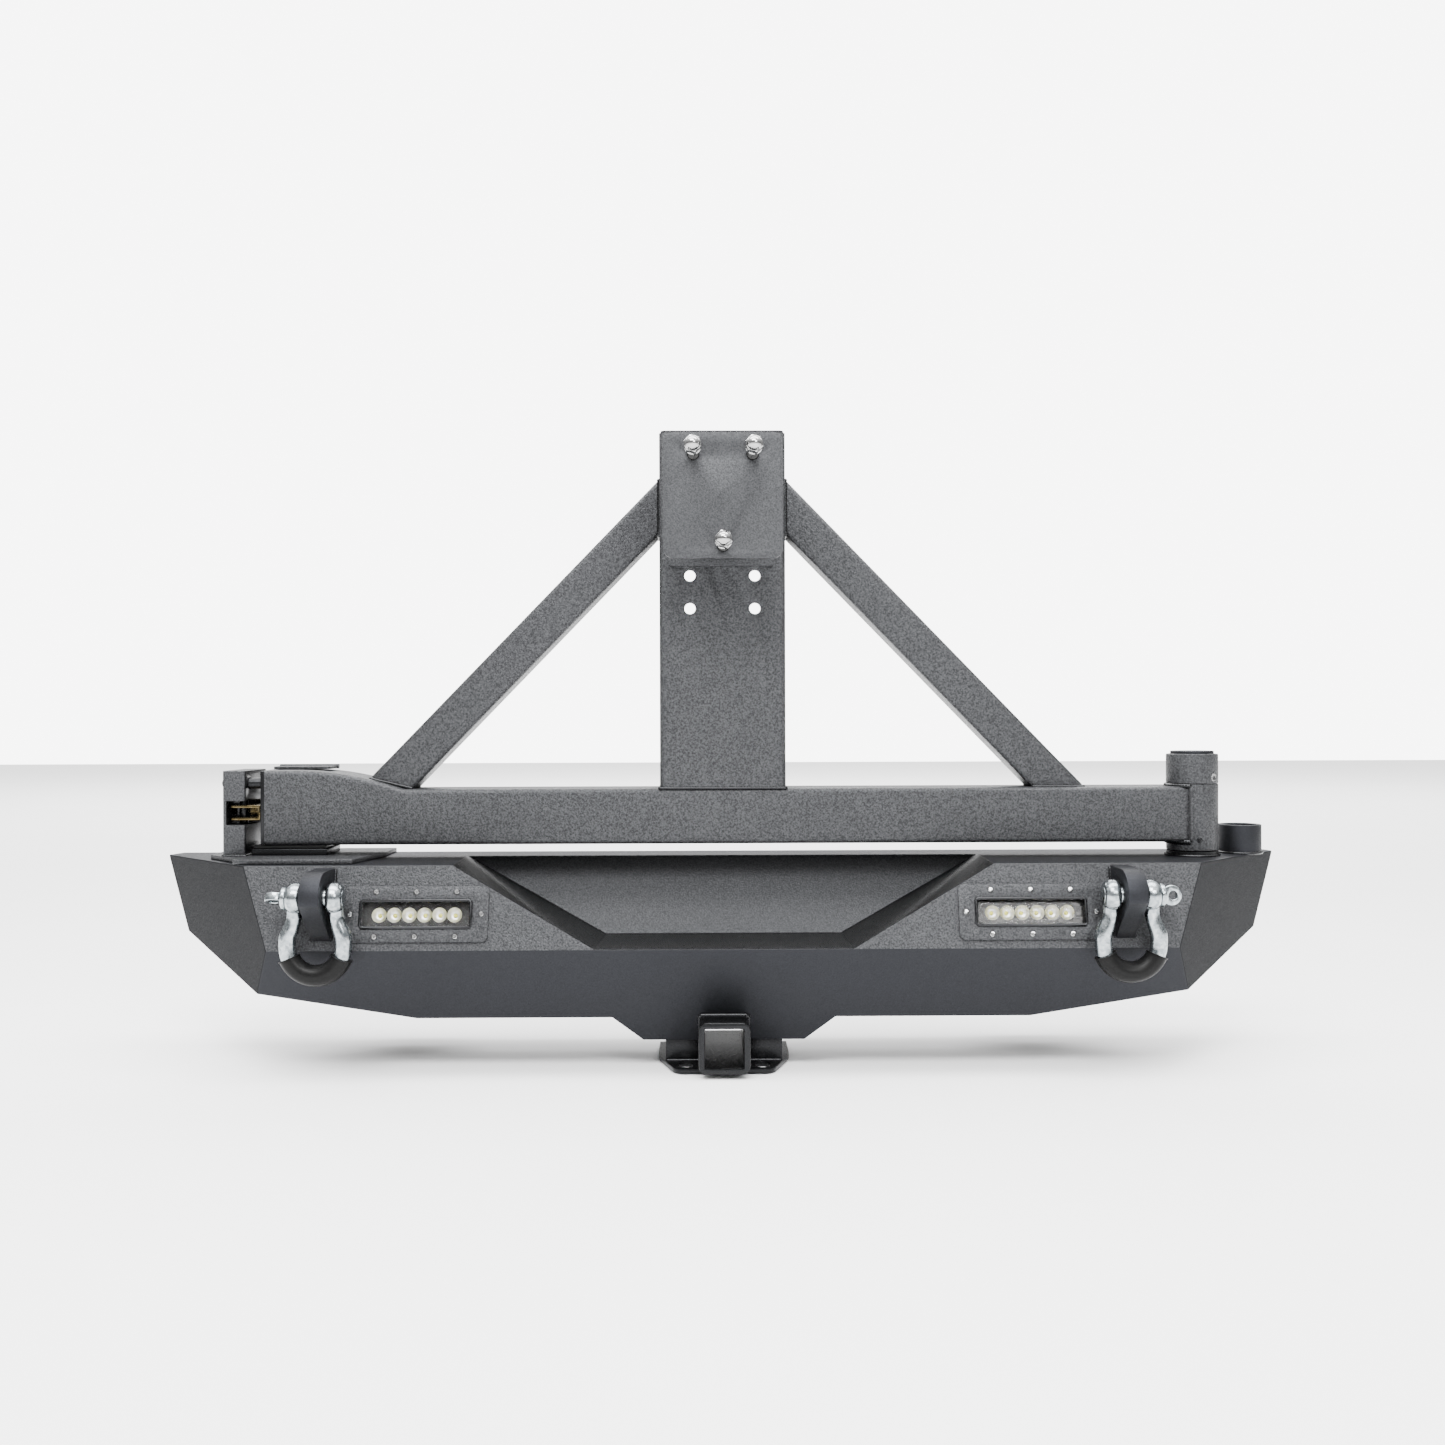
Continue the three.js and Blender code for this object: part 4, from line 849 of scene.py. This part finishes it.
def build_base_bolts():
    """Four yellow zinc bolts hold the base plate to the upright, with washers and nuts behind."""
    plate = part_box("base_plate")
    channel_wall = low("post_channel").y + 6 * MM
    for column, x in (("left", -HOLE_X), ("right", HOLE_X)):
        for row, rise in zip(("low", "high"), BOLT_ROWS):
            face = Vector((x, plate[0].y, plate[0].z + rise))
            bm = bmesh.new()
            washer = rounded(scaled([(6, 0), (14, 0), (14, 2.5), (6, 2.5)]), 0.5 * MM)
            lathe(bm, washer, face, OUT, 40)
            hex_body(bm, face + OUT * 2.5 * MM, OUT, BOLT_FLATS, 8 * MM, 12)
            back = Vector((x, channel_wall, face.z))
            lathe(bm, washer, back, -OUT, 40)
            hex_body(bm, back - OUT * 2.5 * MM, -OUT, BOLT_FLATS, 10 * MM, 25)
            shank = rounded(scaled([(0, 0), (6, 0), (6, 18), (0, 18)]), 0.8 * MM)
            lathe(bm, shank, back, -OUT, 24)
            bolt = finish_mesh(f"base_bolt_{column}_{row}", bm, YELLOW, "swing_arm")


def build_studs():
    """Three threaded studs, each with a chromed acorn nut near its tip."""
    for number in (1, 2, 3):
        a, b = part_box(f"lug_stud_{number}")
        center = (a + b) / 2
        root = Vector((center.x, low("stud_plate").y + 2 * MM, center.z))
        tip = a.y
        length = root.y - tip
        root_radius = STUD_RADIUS * 0.9
        profile = [(0, 0), (root_radius, 0)]
        turns = int(length / THREAD_PITCH) - 1
        for k in range(turns):
            profile.append((root_radius, (k + 0.15) * THREAD_PITCH))
            profile.append((STUD_RADIUS, (k + 0.5) * THREAD_PITCH))
            profile.append((STUD_RADIUS, (k + 0.62) * THREAD_PITCH))
            profile.append((root_radius, (k + 1.0) * THREAD_PITCH))
        profile.append((STUD_RADIUS * 0.8, length))
        profile.append((0, length))
        bm = bmesh.new()
        lathe(bm, profile, root, OUT, 28)
        head = rounded(scaled([(0, -13), (9.5, -13), (9.5, -8.3), (0, -8.3)]), 0.6 * MM)
        lathe(bm, head, root, OUT, 28)
        stud = finish_mesh(f"threaded_stud_{number}", bm, SHADED_STEEL, "swing_arm", 25)
        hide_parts(f"lug_stud_{number}")
        back = Vector((center.x, high(f"lug_nut_{number}").y, center.z))
        bm = bmesh.new()
        cone = rounded(scaled([(7.4, 0), (8.6, 0), (10, 6.6), (10.8, 8.4), (9, 9)]), 0.4 * MM)
        lathe(bm, cone, back, OUT, 40)
        hex_body(bm, back + OUT * 7 * MM, OUT, 19.6 * MM, 18 * MM, 0, 0.9 * MM)
        dome = [(10.1 * MM, 24.4 * MM), (9.6 * MM, 25.6 * MM)]
        for k in range(9):
            turn = math.radians(90 * k / 8)
            dome.append((9.2 * MM * math.cos(turn), 26 * MM + 8.9 * MM * math.sin(turn)))
        dome[-1] = (0, dome[-1][1])
        lathe(bm, dome, back, OUT, 40)
        nut = finish_mesh(f"acorn_nut_{number}", bm, CHROME, "swing_arm", 28)
        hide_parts(f"lug_nut_{number}")


# Shackles -------------------------------------------------------------------------------------
BOW_WIRE = 9.5 * MM
BOW_EAR = 16 * MM
BOW_RADIUS = 35 * MM
BOW_DROP = 62 * MM
RUBBER_STEPS = 40
# The left pin is turned so that its eye shows edge-on, as in the photograph.
LEFT_PIN_DEGREES = 68


def catmull(spots, steps):
    """A smooth line through the points."""
    spots = [Vector(p) for p in spots]
    ends = [spots[0] * 2 - spots[1]] + spots + [spots[-1] * 2 - spots[-2]]
    found = []
    for a, b, c, d in zip(ends, ends[1:], ends[2:], ends[3:]):
        for i in range(steps):
            t = i / steps
            found.append(((b * 2) + (c - a) * t + (a * 2 - b * 5 + c * 4 - d) * t ** 2
                          + (b * 3 - a - c * 3 + d) * t ** 3) * 0.5)
    found.append(spots[-1])
    return found


def bow_point(pin, turn, radius=BOW_RADIUS):
    return pin + Vector((radius * math.cos(turn), 0, -BOW_DROP + radius * math.sin(turn)))


def build_shackle(side):
    body = f"shackle_{side}"
    joint = next(j for j in frame["joints"] if j["child"] == body)
    pin = Vector(joint["pos_m"])
    ear = BOW_EAR + BOW_WIRE
    # Half of the bow's line: metres across from the pin, and millimetres up from it.
    half = [(ear, 2), (ear, -14), (ear + 1.5 * MM, -26), (ear + 5.5 * MM, -38), (ear + 9.5 * MM, -50)]
    spots = [pin + Vector((-x, 0, z * MM)) for x, z in half]
    for k in range(13):
        spots.append(bow_point(pin, math.pi * (1.02 + 0.96 * k / 12)))
    spots += [pin + Vector((x, 0, z * MM)) for x, z in reversed(half)]
    path = catmull(spots, 4)
    radii = []
    for p in path:
        depth = (pin.z - p.z) / MM
        waist = math.exp(-((depth - 27) / 11) ** 2)
        ear_part = max(0.0, 1 - depth / 22)
        radii.append(BOW_WIRE * (1.13 - 0.15 * waist - 0.05 * ear_part))
    bm = bmesh.new()
    sweep(bm, path, radii, 24)
    for way in (-1, 1):
        start = pin + Vector((way * BOW_EAR, 0, 0))
        ring = scaled([(11.4, 0), (18, 0), (20, 5), (20, 13), (15, 19), (11.4, 19.4)])
        eye = rounded(ring, 3.4 * MM, 5)
        eye.append(eye[0])
        lathe(bm, eye, start, (way, 0, 0), 48)
    bow = finish_mesh(f"shackle_bow_cast_{side}", bm, GALVANISED, body, 50)
    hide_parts(f"shackle_bow_{side}")
    # The rubber sleeve ends in square collars and has a shallow moulding line around it.
    bm = bmesh.new()
    turns = [math.pi * (1.12 + 0.76 * k / RUBBER_STEPS) for k in range(RUBBER_STEPS + 1)]
    radii = [BOW_WIRE + 4 * MM] * (RUBBER_STEPS + 1)
    radii[0] *= 0.98
    radii[-1] *= 0.98
    sweep(bm, [bow_point(pin, t) for t in turns], radii, 28, 0.96)
    for start, step in ((turns[0], 0.012), (turns[-1], -0.012)):
        collar = [bow_point(pin, start + step * j) for j in range(4)]
        sweep(bm, collar, [BOW_WIRE + 5 * MM] * 4, 28)
    seam = [bow_point(pin, t, BOW_RADIUS + BOW_WIRE + 3.9 * MM) for t in turns]
    sweep(bm, seam, [0.7 * MM] * len(seam), 8)
    sleeve = finish_mesh(f"rubber_sleeve_{side}", bm, RUBBER, body, 50)
    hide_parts(f"shackle_isolator_{side}")
    pin_piece = refined(f"shackle_pin_{side}", GALVANISED, 1.2 * MM, 40, 3, 40)
    if side == "left":
        turn = Matrix.Rotation(math.radians(LEFT_PIN_DEGREES), 4, "X")
        pin_piece.data.transform(Matrix.Translation(pin) @ turn @ Matrix.Translation(-pin))


# Work lights ----------------------------------------------------------------------------------
CUP_COUNT = 6
CUP_PITCH = 19.3 * MM
CUP_RADIUS = 9.5 * MM
CUP_DEPTH = 6.5 * MM
LENS_BACK = 6.5 * MM
LAMP_WIDTH = 140.6 * MM
LAMP_HEIGHT = 34.5 * MM
BEZEL_FACE = 3.3 * MM


def light_place(side):
    """The lamp's middle, on the outer side of the face."""
    bezel = middle(f"light_bezel_{side}")
    on_face = SPOTS[side]["bend_fold"]
    return bezel - UPPER_NORMAL * (bezel - on_face).dot(UPPER_NORMAL)


def build_light(side):
    """The lamp's cups, chips, screws and gasket, and its bezel, housing and lens."""
    center = light_place(side)

    def at(x, y, z):
        """A place along the bumper, up its slope and out from its face."""
        return center + Vector((1, 0, 0)) * x + SLOPE_UP * y + UPPER_NORMAL * z

    # The reflector frame: one cell for each cup, its round mouth joined to the cell's edges.
    cell_sides = 40
    bm = bmesh.new()
    cups = bmesh.new()
    chips = bmesh.new()
    for number in range(CUP_COUNT):
        x = (number - (CUP_COUNT - 1) / 2) * CUP_PITCH
        left = -LAMP_WIDTH / 2 if number == 0 else x - CUP_PITCH / 2
        right = LAMP_WIDTH / 2 if number == CUP_COUNT - 1 else x + CUP_PITCH / 2
        inner, outer = [], []
        for k in range(cell_sides):
            turn = 2 * math.pi * (k + 0.5) / cell_sides
            c, s = math.cos(turn), math.sin(turn)
            inner.append(bm.verts.new(at(x + CUP_RADIUS * c, CUP_RADIUS * s, -LENS_BACK)))
            reach_x = (right - x) if c > 0 else (x - left)
            scale = min(reach_x / max(abs(c), 1e-6), LAMP_HEIGHT / 2 / max(abs(s), 1e-6))
            outer.append(bm.verts.new(at(x + scale * c, scale * s, -LENS_BACK)))
        for k in range(cell_sides):
            n = (k + 1) % cell_sides
            bm.faces.new((inner[k], inner[n], outer[n], outer[k]))
        profile = []
        for k in range(9):
            t = k / 8
            profile.append((CUP_RADIUS * (0.36 + 0.64 * math.sqrt(t)), -LENS_BACK - CUP_DEPTH * (1 - t)))
        profile.insert(0, (0, -LENS_BACK - CUP_DEPTH))
        lathe(cups, profile, at(x, 0, 0), UPPER_NORMAL, 40)
        dome = scaled([(0, 2), (1.4, 1.8), (2.3, 1.1), (2.7, 0.2), (2.7, -0.5)])
        lathe(chips, dome, at(x, 0, -LENS_BACK - CUP_DEPTH + 0.6 * MM), UPPER_NORMAL, 24)
    for name, mesh, material, slot in (("reflector_frame", bm, LAMP_PLATE, "lamp_body"),
                                       ("reflector_cups", cups, REFLECTOR, "chrome_nut"),
                                       ("led_chips", chips, CHIP, "clear_lens")):
        recalc = name != "reflector_frame"
        piece = finish_mesh(f"{name}_{side}", mesh, material, "bumper", 50, recalc)
    # Eight button-head screws hold the bezel.
    screws = [(x * 51.5 * MM, y * 28.4 * MM) for x in (-1, 0, 1) for y in (-1, 1)]
    screws += [(-84 * MM, 0), (84 * MM, 0)]
    head = scaled([(0, 1.2), (1.3, 1.2), (1.5, 2.3), (2.6, 2.2), (3.6, 1.2), (4, 0), (4, -1)])
    bm = bmesh.new()
    for x, y in screws:
        lathe(bm, head, at(x, y, BEZEL_FACE), UPPER_NORMAL, 24)
    finish_mesh(f"bezel_screws_{side}", bm, CHROME, "bumper", 40)
    refined(f"light_bezel_{side}", TEXTURED, 0.9 * MM)
    refined(f"light_housing_{side}", INSIDE, 0.5 * MM)
    refined(f"light_lens_{side}", GLASS, 0.6 * MM).visible_shadow = False
    # A glossy gasket frames the window.
    half = [(70.5 * MM, 0), (70.5 * MM, 15 * MM), (68.5 * MM, 17.4 * MM)]
    quarter = half + [(0, 17.4 * MM)]
    loop = quarter + [(-x, y) for x, y in reversed(half)]
    loop += [(x, -y) for x, y in reversed(loop[1:-1])]
    bm = bmesh.new()
    sweep(bm, [at(x, y, 3.4 * MM) for x, y in loop], [2.2 * MM] * len(loop), 10, closed=True)
    finish_mesh(f"lens_gasket_{side}", bm, WELD, "bumper", 50)


# Socket and latch -----------------------------------------------------------------------------
def build_socket():
    """The short open tube beside the pivot."""
    a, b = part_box("stop_socket")
    center = (a + b) / 2
    radius = (b.x - a.x) / 2
    bore = radius - 6.5 * MM
    floor = a.z + 6 * MM
    wall = [(bore - 1 * MM, floor), (bore, floor + 1 * MM), (bore, b.z), (radius, b.z), (radius, a.z)]
    profile = [(0, floor)] + rounded(wall, 1.2 * MM) + [(0, a.z)]
    bm = bmesh.new()
    lathe(bm, profile, (center.x, center.y, 0), UP, 96)
    socket = finish_mesh("pole_socket", bm, FINE, "bumper")
    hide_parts("stop_socket")


def dress(node, material):
    """Gives a CAD node that stays in view its material."""
    mesh = frame["nodes"][node].data
    mesh.materials.clear()
    mesh.materials.append(material)


REFINED = {
    TEXTURED: ("post_channel", "brace_left", "brace_right", "base_plate", "latch_base_plate", "latch_post",
               "post_cap", "release_lever"),
    PLATE_COAT: ("stud_plate",),
    # The lock pin takes the black smooth coat as painted shade for the gap between the latch post and the arm's
    # end plate.
    SMOOTH: ("crossmember", "chain_plate", "frame_plate_left", "frame_plate_right", "standoff_tube",
             "rest_block", "arm_end_plate", "lock_pin"),
    FINE: ("shackle_tab_left", "shackle_tab_right"),
    YELLOW: ("latch_housing", "latch_hook", "hook_pivot_bolt"),
    SHADED_STEEL: ("striker_pin",),
    STEEL: ("castle_nut",),
    RUBBER: ("rest_pad",),
}

add_camera()
add_studio()
SPOTS = build_shell()
build_arm()
build_pivot()
build_welds()
build_base_bolts()
build_studs()
for side in SIDES:
    build_shackle(side)
    build_light(side)
build_socket()
for material, nodes in REFINED.items():
    for node in nodes:
        refined(node, material)
refined("receiver_tube", SMOOTH, 1.6 * MM)
# Inside its window and towards the arm, the latch post's faces take the darker smooth coat: painted shade where
# the window's walls and the arm shade them.
post = bpy.data.objects["latch_post_skin"].data
post.materials.append(SMOOTH)
for face in post.polygons:
    if face.normal.y > -0.5 and face.normal.z < 0.5 and face.normal.x > -0.5:
        face.material_index = 1
dress("spindle", SMOOTH)
for node in ("lower_bearing", "upper_bearing"):
    dress(node, STEEL)
